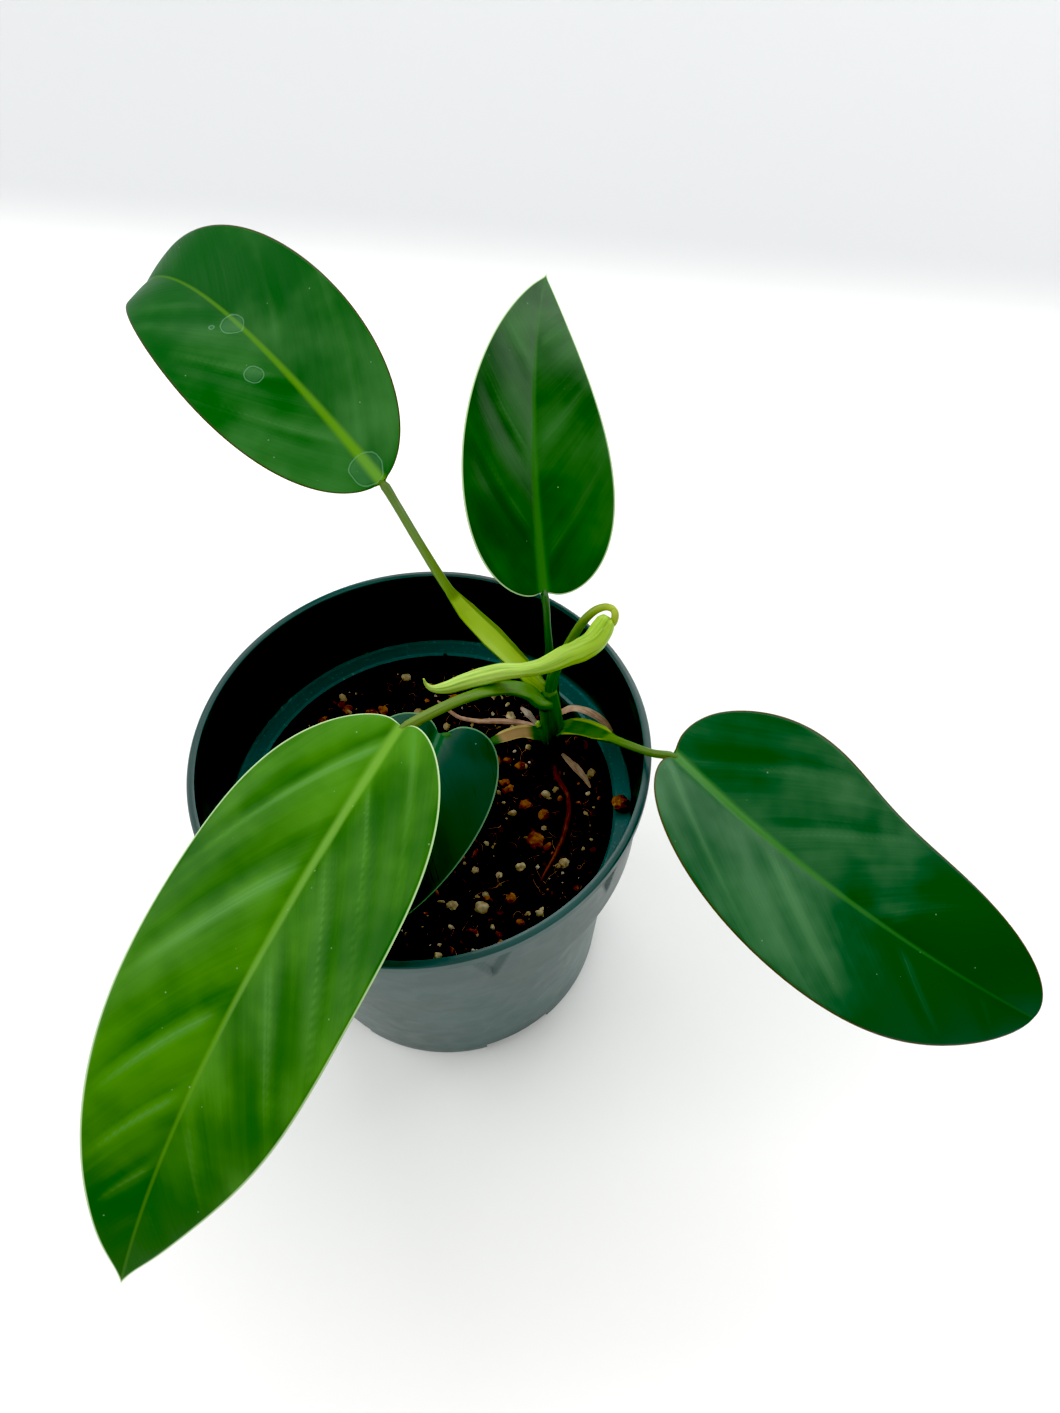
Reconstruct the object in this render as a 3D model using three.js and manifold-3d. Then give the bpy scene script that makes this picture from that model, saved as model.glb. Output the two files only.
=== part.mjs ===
// A young philodendron growing in a round plastic nursery pot.
// Millimetres and degrees. +Z is up and the origin is the middle of the pot's flat underside.
// The longest leaf hangs over the pot's -Y side, and +X is the side of the dark wavy leaf.

import * as THREE from 'three';
import { mergeVertices } from 'three/addons/utils/BufferGeometryUtils.js';
import Module from 'manifold-3d';

const wasm = await Module();
wasm.setup();

// ---------------------------------------------------------------- driving dimensions

const GAP = 0.3; // left between pieces that touch

const POT_HEIGHT = 96;
const FOOT_RADIUS = 43;
const BODY_RADIUS = 47.2; // top of the tapered body, under the ledge
const COLLAR_RADIUS = 51.5; // bottom of the wider collar
const COLLAR_TOP_RADIUS = 52.6;
const RIM_RADIUS = 53.6;
const LIP_THICKNESS = 2;
const LIP_HEIGHT = 3.2;
const LEDGE_HEIGHT = 70;
const WALL = 1.3;
const POT_SIDES = 60;

const DRAIN_SLOTS = 5;
const DRAIN_SLOT_ANGLE = 26; // how much of the foot one slot takes
const DRAIN_SLOT_HEIGHT = 3.5;
const DRAIN_SLOT_DEPTH = 6; // how far it reaches in under the floor
const FIRST_DRAIN_SLOT = -64;

const SOIL_HEIGHT = 66;
const SOIL_RINGS = [38, 30, 22, 14, 7];
const SOIL_SIDES = 36;

const BLADE_THICKNESS = 0.7;
const MIDRIB_DEPTH = 1.1; // how far the midrib stands out under a blade at its base
const SINUS_REACH = 2.5; // how far out from the midrib a blade's base is drawn back into shoulders

// A leaf starts at base, runs along heading, and its pitch goes from rise to fall along its length.
// sweep turns it sideways, roll tips it over, and fold lifts both halves about the midrib.
// early and late shape its outline towards its base and its tip, and lobe sets its shoulders back.
// flatten is the share of its fold that is gone at the tip.
// A wave is [height, how many along the blade, where it starts], on each margin.
const LEAVES = {
  front: {
    base: [-1.5, -7, 115], heading: -122, rise: -9, fall: -53, bend: 1.5, sweep: -1.5,
    roll: [-23, 23], length: 132, width: 56.5, early: 0.51, late: 0.97, lobe: 1.6,
    fold: 11.5, flatten: 0, curl: 0.03, leftWave: [4.1, 1.2, -0.34], rightWave: [3.4, 1.2, 0.26],
  },
  left: {
    base: [-7.5, 59.6, 122], heading: 128.5, rise: 17.7, fall: -60, bend: 3.3, sweep: 7.8,
    roll: [24.5, 18.3], length: 113.8, width: 47.7, early: 0.51, late: 0.77, lobe: 0.3,
    fold: 16, flatten: 0.7, curl: 0.035, leftWave: [0, 1, 0], rightWave: [0, 1, 0],
  },
  back: {
    base: [30.5, 31, 112], heading: 94.7, rise: 33.6, fall: -4, bend: 1.5, sweep: -15.2,
    roll: [-18.5, -27], length: 89.7, width: 39.2, early: 0.43, late: 1.09, lobe: 1.8,
    fold: 11, flatten: 0, curl: 0.03, leftWave: [0, 1, 0], rightWave: [0, 1, 0],
  },
  right: {
    base: [57.8, -8.7, 101], heading: -41.2, rise: -24.5, fall: -32.7, bend: 1.5, sweep: 25.5,
    roll: [17.9, -43.7], length: 110.4, width: 52.4, early: 0.33, late: 0.61, lobe: 2.3,
    fold: 10, flatten: 0, curl: 0.02, leftWave: [6.8, 1.1, 0.08], rightWave: [1.1, 1.1, -0.33],
  },
  inner: {
    base: [4, 9.3, 86], heading: -106.7, rise: 3.6, fall: -30, bend: 1.5, sweep: -1.4,
    roll: [6, 7], length: 50, width: 35, early: 0.3, late: 0.7, lobe: 4.8,
    fold: 6, flatten: 0, curl: 0.05, leftWave: [0, 1, 0], rightWave: [0, 1, 0],
  },
};

// The stem, stalks, bracts and roots follow stations: [x, y, z, half width, depth, crown].
// depth is below the route's line and crown above it, so a crown under zero is a hollow channel.
const STEM = [
  [33, 14, 46, 2.6, 2.6, 2.6],
  [31.5, 13.5, 66, 3.6, 3.6, 3.6],
  [31.4, 12, 80, 3.1, 3.1, 3.1],
  [31, 12, 90, 2.7, 2.7, 2.7],
  [30.5, 12.5, 98, 2, 2, 2],
];

const STALKS = {
  front: [
    [30.4, 13, 92, 2.4, 2.4, 2.2], [28.6, 10.5, 97, 2.5, 2.3, 1.2], [25.7, 10.1, 101.5, 2.4, 2.1, 0.5],
    [21.1, 8.6, 105.5, 2, 1.8, 0.4], [16, 5.4, 108.8, 1.5, 1.5, 0.6], [11.7, 2.3, 111, 1.3, 1.3, 1],
    [7.7, -0.9, 112.8, 1.25, 1.2, 1.1], [3.7, -4.1, 114.2, 1.25, 1.2, 1.1],
    [-0.2, -7, 114.9, 1.2, 1.2, 1.1],
  ],
  left: [
    [30.2, 13, 95, 2.2, 2.2, 2], [27, 14.6, 100, 2.4, 2.1, 0.2], [22.7, 17.3, 105, 2.6, 2.1, -1],
    [17.9, 20.9, 109, 2.9, 2.2, -1.4], [12.3, 25.8, 112.6, 2.4, 1.9, -1.2], [8.4, 29.9, 115.6, 1.2, 1.3, 0.4],
    [2, 40.9, 119, 1.1, 1.1, 1], [-4.3, 53.5, 121, 1.1, 1.1, 1], [-6.7, 58.1, 121.8, 1.2, 1.2, 1.1],
  ],
  back: [
    [31.3, 13.1, 90, 2, 2, 1.8], [31.2, 14.7, 95, 1.9, 1.9, 0.6], [31.1, 17.2, 100.5, 1.6, 1.5, 0.2],
    [31.1, 20.1, 104.5, 1, 1.1, 0.6], [30.9, 24, 108, 0.9, 0.9, 0.9], [30.8, 27.8, 110.8, 0.9, 0.9, 0.9],
    [30.6, 29.6, 111.5, 1, 1, 1],
  ],
  right: [
    [31.9, 12.1, 79, 2.4, 2.2, 2], [33.9, 11.1, 84, 2.6, 2.1, 0.2], [37.9, 8.2, 88.5, 2.7, 2.2, -1.2],
    [42, 3.7, 92.5, 2.3, 1.8, -1.1], [44.9, -0.2, 95.5, 1.1, 1.2, 0.6], [48.4, -3.9, 98, 1, 1, 0.9],
    [53.1, -7.4, 100, 0.9, 1, 0.9], [56.7, -8.9, 101, 1, 1, 1],
  ],
  inner: [
    [30.7, 12.9, 75, 2.2, 2, 2], [27.7, 13.2, 78, 2.2, 2, 0.2], [23.9, 12.6, 80.5, 1.9, 1.8, -0.7],
    [19.7, 10.6, 82, 1.7, 1.6, -0.7], [16.2, 8.9, 82, 1.2, 1.2, 0.4], [11.7, 7.2, 82.3, 1.1, 1.1, 1],
    [7.9, 7.3, 83.8, 1.1, 1.1, 1], [5.6, 8.8, 85.4, 1.1, 1.1, 1],
  ],
};

const NEW_STALK = [
  [30.8, 12.4, 95, 1.6, 1.5, 1.5], [31.9, 14.3, 102, 1.5, 1.4, 1.4], [34.9, 17.1, 107.5, 1.2, 1.2, 1.2],
  [37.9, 19, 113, 1.1, 1.1, 1.1], [39.9, 19, 117, 1, 1, 1], [41.9, 19.1, 119.2, 0.9, 0.9, 0.9],
  [44, 18.9, 120.2, 0.8, 0.8, 0.8], [45.4, 18.1, 120.2, 0.8, 0.8, 0.8],
  [45.8, 16.9, 119.6, 0.9, 0.9, 0.9],
];

const NEW_BLADE = [
  [44.2, 17.1, 118.8, 1.3, 1.3, 1.2], [43.6, 16.3, 118.4, 2.2, 2, 2], [42.8, 15.3, 117.4, 2.6, 2.4, 2.4],
  [40.7, 13.1, 115.6, 2.8, 2.6, 2.6], [38, 12.4, 113.8, 2.9, 2.7, 2.7], [34.6, 12.1, 112, 2.6, 2.4, 2.4],
  [31.6, 11.3, 110.8, 2.2, 2, 2], [28.6, 10.5, 110, 1.8, 1.7, 1.7], [24.5, 10.1, 109.6, 1.6, 1.5, 1.5],
  [20, 9.9, 109.6, 2, 1.8, 1.8], [15.4, 8.7, 109.8, 2.1, 1.9, 1.9], [11, 7, 110.2, 1.9, 1.7, 1.7],
  [7.2, 5.3, 110.8, 1.4, 1.3, 1.3], [4.6, 4.7, 111.6, 0.8, 0.8, 0.8], [3.3, 4.9, 113, 0.5, 0.4, 0.4],
  [2.9, 5.1, 115, 0.2, 0.2, 0.2],
];

const BRACTS = {
  bract_right: [
    [34, 18.2, 80, 0.9, 0.4, 0.3], [36.8, 18.4, 81.2, 1, 0.4, 0.2], [40.8, 16.9, 81.4, 1.1, 0.5, 0.2],
    [44.4, 14.8, 80, 1, 0.5, 0.2], [46.4, 13, 77.8, 0.5, 0.4, 0.2],
  ],
  bract_front: [
    [33.6, 10.1, 73, 0.5, 0.4, 0.4], [35.3, 8.2, 72.4, 0.9, 0.5, 0.2], [37.2, 6.3, 71.6, 1.1, 0.6, 0.2],
    [39.1, 4.1, 70.4, 0.8, 0.5, 0.2], [40.5, 2, 69, 0.3, 0.3, 0.2],
  ],
  bract_left: [
    [27.6, 17.5, 76, 0.6, 0.4, 0.3], [25.4, 20, 77.4, 1, 0.4, 0.3], [23.8, 22.4, 76.4, 0.4, 0.3, 0.3],
  ],
};

const AERIAL_ROOT = [
  [29, 16.6, 74, 0.8, 0.8, 0.8], [25, 19.9, 72.6, 0.8, 0.8, 0.8], [19.2, 21.8, 71.4, 0.8, 0.8, 0.8],
  [12.6, 22.7, 70.6, 0.7, 0.7, 0.7], [7.3, 24.6, 70, 0.6, 0.6, 0.6], [3.5, 28.1, 69.6, 0.5, 0.5, 0.5],
  [1.3, 30.7, 69.4, 0.3, 0.3, 0.3],
];

const SURFACE_ROOT = [
  [31.6, 9, 69.2, 0.7, 0.6, 0.6], [32.3, 5.4, 68.6, 0.8, 0.6, 0.6], [34.4, 1.1, 68.4, 0.7, 0.6, 0.6],
  [34.6, -3.5, 68.2, 0.7, 0.6, 0.6], [33, -10.7, 68.2, 0.7, 0.6, 0.6], [30.8, -15.3, 68, 0.6, 0.5, 0.5],
  [26.7, -22.6, 67.8, 0.3, 0.3, 0.3],
];

const ROOT_CROWN = [33, 14, 45.6]; // just under the buried end of the stem
const ROOT_SPREAD = 24; // how far the deep roots reach out from the crown
const ROOT_DEPTH = 32;
const ROOT_COUNT = 6;
const ROOT_HEADING = 203; // the roots fan out about this heading, into the middle of the mix
const ROOT_FAN_STEP = 30;

const BUD = { at: [28.2, 11.6, 85], size: [0.9, 0.9, 1.3] };

// Loose pieces on the mix: [x, y, radius along, radius across, radius up, turn].
const BARK_CHIPS = [
  [47.2, -4.2, 2.6, 1.9, 1.5, 20], [26, -11, 2.7, 2.1, 1.5, 70], [18.6, 6.6, 1.7, 1.3, 1.1, 10],
  [23.6, -0.4, 2.2, 1.4, 1.1, -30], [6, 33, 2.4, 1.5, 1.2, 40], [-22, 27, 2.6, 1.7, 1.2, -20],
  [-31, -8, 2.4, 1.6, 1.2, 60], [16.5, -38, 2.2, 1.5, 1.1, -50],
];
const PERLITE_GRAINS = [
  [12.2, -28.4, 1.9, 1.8, 1.6, 0], [5.2, -27, 1.5, 1.3, 1.2, 30], [32.6, -17.4, 1.5, 1.3, 1.2, 50],
  [22, -18.4, 1.5, 1.3, 1.2, 20], [20.6, 26, 1.5, 1.4, 1.3, 80], [-4, 29, 1.4, 1.3, 1.2, 10],
  [-30, 12, 1.7, 1.5, 1.3, 60], [2, -40, 1.3, 1.2, 1.1, 0],
];

const COLOURS = {
  pot: { color: 0x1f3f3a, roughness: 0.45 },
  soil: { color: 0x2a1d16, roughness: 0.95 },
  stem: { color: 0x3d6a1c, roughness: 0.5 },
  stalk: { color: 0x5d8f2c, roughness: 0.5 },
  lightLeaf: { color: 0x3f7f22, roughness: 0.45 },
  darkLeaf: { color: 0x1d4f26, roughness: 0.4 },
  newLeaf: { color: 0x94b83a, roughness: 0.5 },
  bract: { color: 0xb08a70, roughness: 0.8 },
  root: { color: 0x7a4a3c, roughness: 0.8 },
  bark: { color: 0xb0702c, roughness: 0.9 },
  perlite: { color: 0xe8e2cf, roughness: 0.95 },
};

// ---------------------------------------------------------------- solids

const radians = THREE.MathUtils.degToRad;

function solidFromArrays(positions, triangles) {
  return new wasm.Manifold(new wasm.Mesh({
    numProp: 3,
    vertProperties: new Float32Array(positions),
    triVerts: new Uint32Array(triangles),
  }));
}

function solidFromGeometry(geometry) {
  geometry.deleteAttribute('normal');
  geometry.deleteAttribute('uv');
  const merged = mergeVertices(geometry, 1e-4);
  return solidFromArrays(merged.attributes.position.array, merged.index.array);
}

function largestPiece(solid) {
  return solid.decompose().sort((a, b) => b.volume() - a.volume())[0];
}

function geometryFromSolid(solid) {
  const mesh = solid.getMesh();
  const geometry = new THREE.BufferGeometry();
  geometry.setAttribute('position', new THREE.BufferAttribute(mesh.vertProperties, 3));
  geometry.setIndex(new THREE.BufferAttribute(mesh.triVerts, 1));
  geometry.computeVertexNormals();
  return geometry;
}

function cutAway(solid, neighbours) {
  return neighbours.reduce((rest, neighbour) => rest.subtract(neighbour), solid);
}

// ---------------------------------------------------------------- strands: stem, stalks, bracts, roots

// One station's section: half an ellipse below the route's line and half above it.
function sectionPoint(angle, halfWidth, depth, crown) {
  const height = Math.sin(angle) < 0 ? depth : crown;
  return [halfWidth * Math.cos(angle), height * Math.sin(angle)];
}

// A closed tapered strand along stations. lift is roughly the direction that its crown faces.
// grow makes it fatter and longer all round, for cutting its neighbours clear of it.
function strand(stations, { lift = [0, 0, 1], grow = 0, sides = 8, stepsPerSpan = 3 } = {}) {
  const curve = new THREE.CatmullRomCurve3(stations.map(([x, y, z]) => new THREE.Vector3(x, y, z)));
  const spans = stations.length - 1;
  const rings = spans * stepsPerSpan;
  const crownSide = new THREE.Vector3(...lift);
  const positions = [];
  const triangles = [];
  const ends = [];
  for (let ring = 0; ring <= rings; ring += 1) {
    const along = (ring / rings) * spans;
    const from = Math.min(Math.floor(along), spans - 1);
    const size = [3, 4, 5].map((k) => THREE.MathUtils.lerp(
      stations[from][k],
      stations[from + 1][k],
      along - from,
    ) + grow);
    const tangent = curve.getTangent(ring / rings);
    const side = new THREE.Vector3().crossVectors(tangent, crownSide).normalize();
    const up = new THREE.Vector3().crossVectors(side, tangent);
    const centre = curve.getPoint(ring / rings);
    if (ring === 0) centre.addScaledVector(tangent, -grow);
    if (ring === rings) centre.addScaledVector(tangent, grow);
    if (ring === 0 || ring === rings) ends.push(centre.clone().addScaledVector(up, (size[2] - size[1]) / 2));
    for (let k = 0; k < sides; k += 1) {
      const [across, over] = sectionPoint((2 * Math.PI * k) / sides, ...size);
      const point = centre.clone().addScaledVector(side, across).addScaledVector(up, over);
      positions.push(point.x, point.y, point.z);
    }
  }
  for (let ring = 0; ring < rings; ring += 1) {
    for (let k = 0; k < sides; k += 1) {
      const a = ring * sides + k;
      const b = ring * sides + ((k + 1) % sides);
      triangles.push(a, b + sides, b, a, a + sides, b + sides);
    }
  }
  const first = positions.length / 3;
  ends.forEach((end) => positions.push(end.x, end.y, end.z));
  for (let k = 0; k < sides; k += 1) {
    const next = (k + 1) % sides;
    triangles.push(first, k, next);
    triangles.push(first + 1, rings * sides + next, rings * sides + k);
  }
  return solidFromArrays(positions, triangles);
}

// ---------------------------------------------------------------- leaf blades

const SPINE_STEPS = 30;

function leafDirection(leaf, s) {
  const pitch = radians(leaf.rise + (leaf.fall - leaf.rise) * s ** leaf.bend);
  const yaw = radians(leaf.heading + leaf.sweep * s);
  return new THREE.Vector3(
    Math.cos(pitch) * Math.cos(yaw),
    Math.cos(pitch) * Math.sin(yaw),
    Math.sin(pitch),
  );
}

// The midrib's point at s, from 0 at the base to 1 at the tip.
function spinePoint(leaf, s) {
  const point = new THREE.Vector3(...leaf.base);
  for (let k = 0; k < SPINE_STEPS; k += 1) {
    const middle = (s * (k + 0.5)) / SPINE_STEPS;
    point.addScaledVector(leafDirection(leaf, middle), (s * leaf.length) / SPINE_STEPS);
  }
  return point;
}

// Half the blade's width at s, as a share of its widest.
function outlineShare(leaf, s) {
  const widest = leaf.early / (leaf.early + leaf.late);
  return (s / widest) ** leaf.early * ((1 - s) / (1 - widest)) ** leaf.late;
}

// A point of the blade: s along it, v across it from -1 (left margin) to 1 (right), and how far
// it is lifted off the middle surface.
function bladePoint(leaf, s, v, lift) {
  const along = leafDirection(leaf, s);
  const yaw = radians(leaf.heading + leaf.sweep * s);
  const level = new THREE.Vector3(Math.sin(yaw), -Math.cos(yaw), 0);
  const above = new THREE.Vector3().crossVectors(level, along);
  const roll = radians(THREE.MathUtils.lerp(leaf.roll[0], leaf.roll[1], s));
  const side = level.clone().multiplyScalar(Math.cos(roll)).addScaledVector(above, Math.sin(roll));
  const normal = above.clone().multiplyScalar(Math.cos(roll)).addScaledVector(level, -Math.sin(roll));
  const share = outlineShare(leaf, s);
  const out = Math.abs(v);
  const halfWidth = (leaf.width / 2) * share;
  const [waveHeight, waveCount, waveStart] = v < 0 ? leaf.leftWave : leaf.rightWave;
  const wave = waveHeight * Math.sin(2 * Math.PI * (waveCount * s + waveStart)) * out ** 1.6 * share;
  const fold = radians(leaf.fold * (1 - leaf.flatten * s ** 3));
  const reach = halfWidth * out;
  const height = reach * Math.sin(fold) - leaf.curl * reach * out + wave;
  const shoulder = reach ** 2 / (reach ** 2 + SINUS_REACH ** 2);
  return spinePoint(leaf, s)
    .addScaledVector(side, halfWidth * v * Math.cos(fold))
    .addScaledVector(normal, height + lift)
    .addScaledVector(along, -leaf.lobe * shoulder * v ** 2 * (1 - s) ** 5);
}

// A closed thin blade, with its midrib standing out underneath.
function bladeSolid(leaf) {
  const rows = Math.round(leaf.length / 7);
  const across = [-1, -0.82, -0.55, -0.28, -0.07, 0.07, 0.28, 0.55, 0.82, 1];
  const columns = across.length;
  const positions = [];
  const triangles = [];
  for (const upper of [1, 0]) {
    for (let row = 0; row <= rows; row += 1) {
      const s = THREE.MathUtils.clamp((1 - Math.cos((Math.PI * row) / rows)) / 2, 0.003, 0.996);
      for (const v of across) {
        const rib = Math.abs(v) < 0.1 ? MIDRIB_DEPTH * (1 - 0.8 * s) : 0;
        const lift = upper ? BLADE_THICKNESS / 2 : -BLADE_THICKNESS / 2 - rib;
        positions.push(...bladePoint(leaf, s, v, lift).toArray());
      }
    }
  }
  const under = (rows + 1) * columns;
  const quad = (a, b, c, d) => triangles.push(a, b, c, a, c, d);
  for (let row = 0; row < rows; row += 1) {
    for (let k = 0; k < columns - 1; k += 1) {
      const a = row * columns + k;
      quad(a, a + 1, a + columns + 1, a + columns);
      quad(under + a + columns, under + a + columns + 1, under + a + 1, under + a);
    }
    const left = row * columns;
    const right = left + columns - 1;
    quad(left, left + columns, under + left + columns, under + left);
    quad(right + columns, right, under + right, under + right + columns);
  }
  for (let k = 0; k < columns - 1; k += 1) {
    const tip = rows * columns + k;
    quad(k + 1, k, under + k, under + k + 1);
    quad(tip, tip + 1, under + tip + 1, under + tip);
  }
  return solidFromArrays(positions, triangles);
}

// ---------------------------------------------------------------- pot

function drainSlotCutter(index) {
  const middle = FIRST_DRAIN_SLOT + (index * 360) / DRAIN_SLOTS;
  const start = radians(middle - DRAIN_SLOT_ANGLE / 2);
  const end = radians(middle + DRAIN_SLOT_ANGLE / 2);
  const shape = new THREE.Shape();
  shape.absarc(0, 0, FOOT_RADIUS + 2, start, end, false);
  shape.absarc(0, 0, FOOT_RADIUS - DRAIN_SLOT_DEPTH, end, start, true);
  shape.closePath();
  const overshoot = 1;
  const geometry = new THREE.ExtrudeGeometry(shape, {
    depth: DRAIN_SLOT_HEIGHT + overshoot,
    bevelEnabled: false,
    curveSegments: 4,
  });
  geometry.translate(0, 0, -overshoot);
  return solidFromGeometry(geometry);
}

function potSolid() {
  const collarBottom = LEDGE_HEIGHT - WALL / 2;
  const lipBottom = POT_HEIGHT - LIP_HEIGHT;
  const profile = [
    [0, 0],
    [FOOT_RADIUS, 0],
    [BODY_RADIUS, LEDGE_HEIGHT - WALL],
    [COLLAR_RADIUS, collarBottom],
    [COLLAR_TOP_RADIUS, lipBottom],
    [RIM_RADIUS, lipBottom],
    [RIM_RADIUS, POT_HEIGHT],
    [RIM_RADIUS - LIP_THICKNESS, POT_HEIGHT],
    [COLLAR_TOP_RADIUS - WALL, lipBottom],
    [COLLAR_RADIUS - WALL, LEDGE_HEIGHT + WALL / 2],
    [BODY_RADIUS - WALL, LEDGE_HEIGHT],
    [FOOT_RADIUS - WALL, WALL],
    [0, WALL],
  ].map(([radius, z]) => new THREE.Vector2(radius, z));
  const lathe = new THREE.LatheGeometry(profile, POT_SIDES).rotateX(Math.PI / 2);
  const slots = Array.from({ length: DRAIN_SLOTS }, (_, index) => drainSlotCutter(index));
  return cutAway(solidFromGeometry(lathe), slots);
}

// ---------------------------------------------------------------- potting mix and what lies on it

function soilHeight(x, y) {
  return SOIL_HEIGHT + 0.7 * Math.sin(0.16 * x + 1) * Math.cos(0.13 * y) + 0.4 * Math.sin(0.37 * x - 0.29 * y);
}

function soilSolid() {
  const floor = WALL + GAP;
  const side = WALL + GAP;
  const profile = [
    [0, floor],
    [FOOT_RADIUS - side, floor],
    [BODY_RADIUS - side - 0.3, SOIL_HEIGHT - 1],
    ...SOIL_RINGS.map((radius) => [radius, SOIL_HEIGHT]),
    [0, SOIL_HEIGHT],
  ].map(([radius, z]) => new THREE.Vector2(radius, z));
  const geometry = new THREE.LatheGeometry(profile, SOIL_SIDES).rotateX(Math.PI / 2);
  const points = geometry.attributes.position;
  for (let i = 0; i < points.count; i += 1) {
    if (points.getZ(i) > SOIL_HEIGHT - 0.5) {
      points.setZ(i, soilHeight(points.getX(i), points.getY(i)));
    }
  }
  return solidFromGeometry(geometry);
}

// A rounded, uneven lump half sunk in the surface it lies on.
function lumpSolid([x, y, along, across, up, turn], z, seed, grow) {
  const geometry = new THREE.IcosahedronGeometry(1, 1);
  const points = geometry.attributes.position;
  const point = new THREE.Vector3();
  for (let i = 0; i < points.count; i += 1) {
    point.fromBufferAttribute(points, i);
    const uneven = 1 + 0.14 * Math.sin(3.1 * point.x + 2.3 * point.y + 4.7 * point.z + seed);
    point.multiplyScalar(uneven);
    points.setXYZ(i, point.x * (along + grow), point.y * (across + grow), point.z * (up + grow));
  }
  geometry.rotateZ(radians(turn));
  geometry.translate(x, y, z);
  return solidFromGeometry(geometry);
}

// A lump rests in a hollow of the mix, or on the ledge when it is out past the body's wall.
function lumpHeight([x, y, , , up]) {
  const onLedge = Math.hypot(x, y) > BODY_RADIUS - 2;
  return onLedge ? LEDGE_HEIGHT + 1.4 * up : soilHeight(x, y) + 0.4 * up;
}

function rootSystemSolid(grow = 0) {
  const [x, y, z] = ROOT_CROWN;
  const crown = strand([[x, y, z - 9, 3, 3, 3], [x, y, z, 3.2, 3.2, 3.2]], { lift: [0, 1, 0], grow });
  const roots = Array.from({ length: ROOT_COUNT }, (_, index) => {
    const angle = radians(ROOT_HEADING + (index - (ROOT_COUNT - 1) / 2) * ROOT_FAN_STEP);
    const depth = ROOT_DEPTH * (0.75 + 0.05 * index);
    const stations = [0, 0.25, 0.6, 1].map((t) => [
      x + ROOT_SPREAD * Math.cos(angle) * t,
      y + ROOT_SPREAD * Math.sin(angle) * t,
      z - 4 - depth * t ** 1.4,
      1.5 - 0.9 * t,
      1.5 - 0.9 * t,
      1.5 - 0.9 * t,
    ]);
    return strand(stations, { grow, sides: 6, stepsPerSpan: 2 });
  });
  return roots.reduce((whole, root) => whole.add(root), crown);
}

// ---------------------------------------------------------------- assembly

const plant = new THREE.Group();
plant.name = 'potted_philodendron';

function addPiece(name, solid, colour) {
  const material = new THREE.MeshStandardMaterial({ ...COLOURS[colour], metalness: 0 });
  const mesh = new THREE.Mesh(geometryFromSolid(solid), material);
  mesh.name = name;
  plant.add(mesh);
}

// Each strand is cut clear of those added before it, so joined organs stay a gap apart.
const placed = [];

function addStrand(name, stations, colour, options = {}) {
  addPiece(name, largestPiece(cutAway(strand(stations, options), placed)), colour);
  placed.push(strand(stations, { ...options, grow: GAP }));
}

addPiece('nursery_pot', potSolid(), 'pot');

addStrand('main_stem', STEM, 'stem', { lift: [0, 1, 0] });
addStrand('front_leaf_stalk', STALKS.front, 'stalk');
addStrand('left_leaf_stalk', STALKS.left, 'stalk');
addStrand('back_leaf_stalk', STALKS.back, 'stem', { lift: [0, -0.6, 1] });
addStrand('right_leaf_stalk', STALKS.right, 'stalk');
addStrand('inner_leaf_stalk', STALKS.inner, 'stalk');
addStrand('new_leaf_stalk', NEW_STALK, 'newLeaf', { lift: [0.6, -0.8, 0] });
addStrand('new_leaf_blade', NEW_BLADE, 'newLeaf');
Object.entries(BRACTS).forEach(([name, stations]) => addStrand(name, stations, 'bract', { sides: 6 }));
addStrand('aerial_root', AERIAL_ROOT, 'root', { sides: 6, stepsPerSpan: 2 });
addStrand('surface_root', SURFACE_ROOT, 'root', { sides: 6, stepsPerSpan: 2 });

Object.entries(LEAVES).forEach(([name, leaf]) => {
  const colour = name === 'front' ? 'lightLeaf' : 'darkLeaf';
  addPiece(`${name}_leaf_blade`, largestPiece(cutAway(bladeSolid(leaf), placed)), colour);
});

const [budX, budY, budZ] = BUD.at;
const bud = lumpSolid([budX, budY, ...BUD.size, 0], budZ, 1, 0);
addPiece('side_bud', largestPiece(cutAway(bud, placed)), 'newLeaf');

addPiece('root_system', largestPiece(cutAway(rootSystemSolid(), placed)), 'root');

const buried = [...placed, rootSystemSolid(GAP)];

function addLumps(name, lumps, colour) {
  lumps.forEach((lump, index) => {
    const z = lumpHeight(lump);
    addPiece(`${name}_${index + 1}`, largestPiece(cutAway(lumpSolid(lump, z, index, 0), placed)), colour);
    buried.push(lumpSolid(lump, z, index, GAP));
  });
}

addLumps('bark_chip', BARK_CHIPS, 'bark');
addLumps('perlite_grain', PERLITE_GRAINS, 'perlite');

addPiece('potting_mix', largestPiece(cutAway(soilSolid(), buried)), 'soil');

export default plant;
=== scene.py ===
"""The looks of a young philodendron in a nursery pot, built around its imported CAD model.

Shapes are worked out in millimetres, as in the CAD source, and written to meshes in metres.
"""

import math

import bmesh
import bpy
import numpy as np
from mathutils import Matrix, Vector, noise


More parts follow.
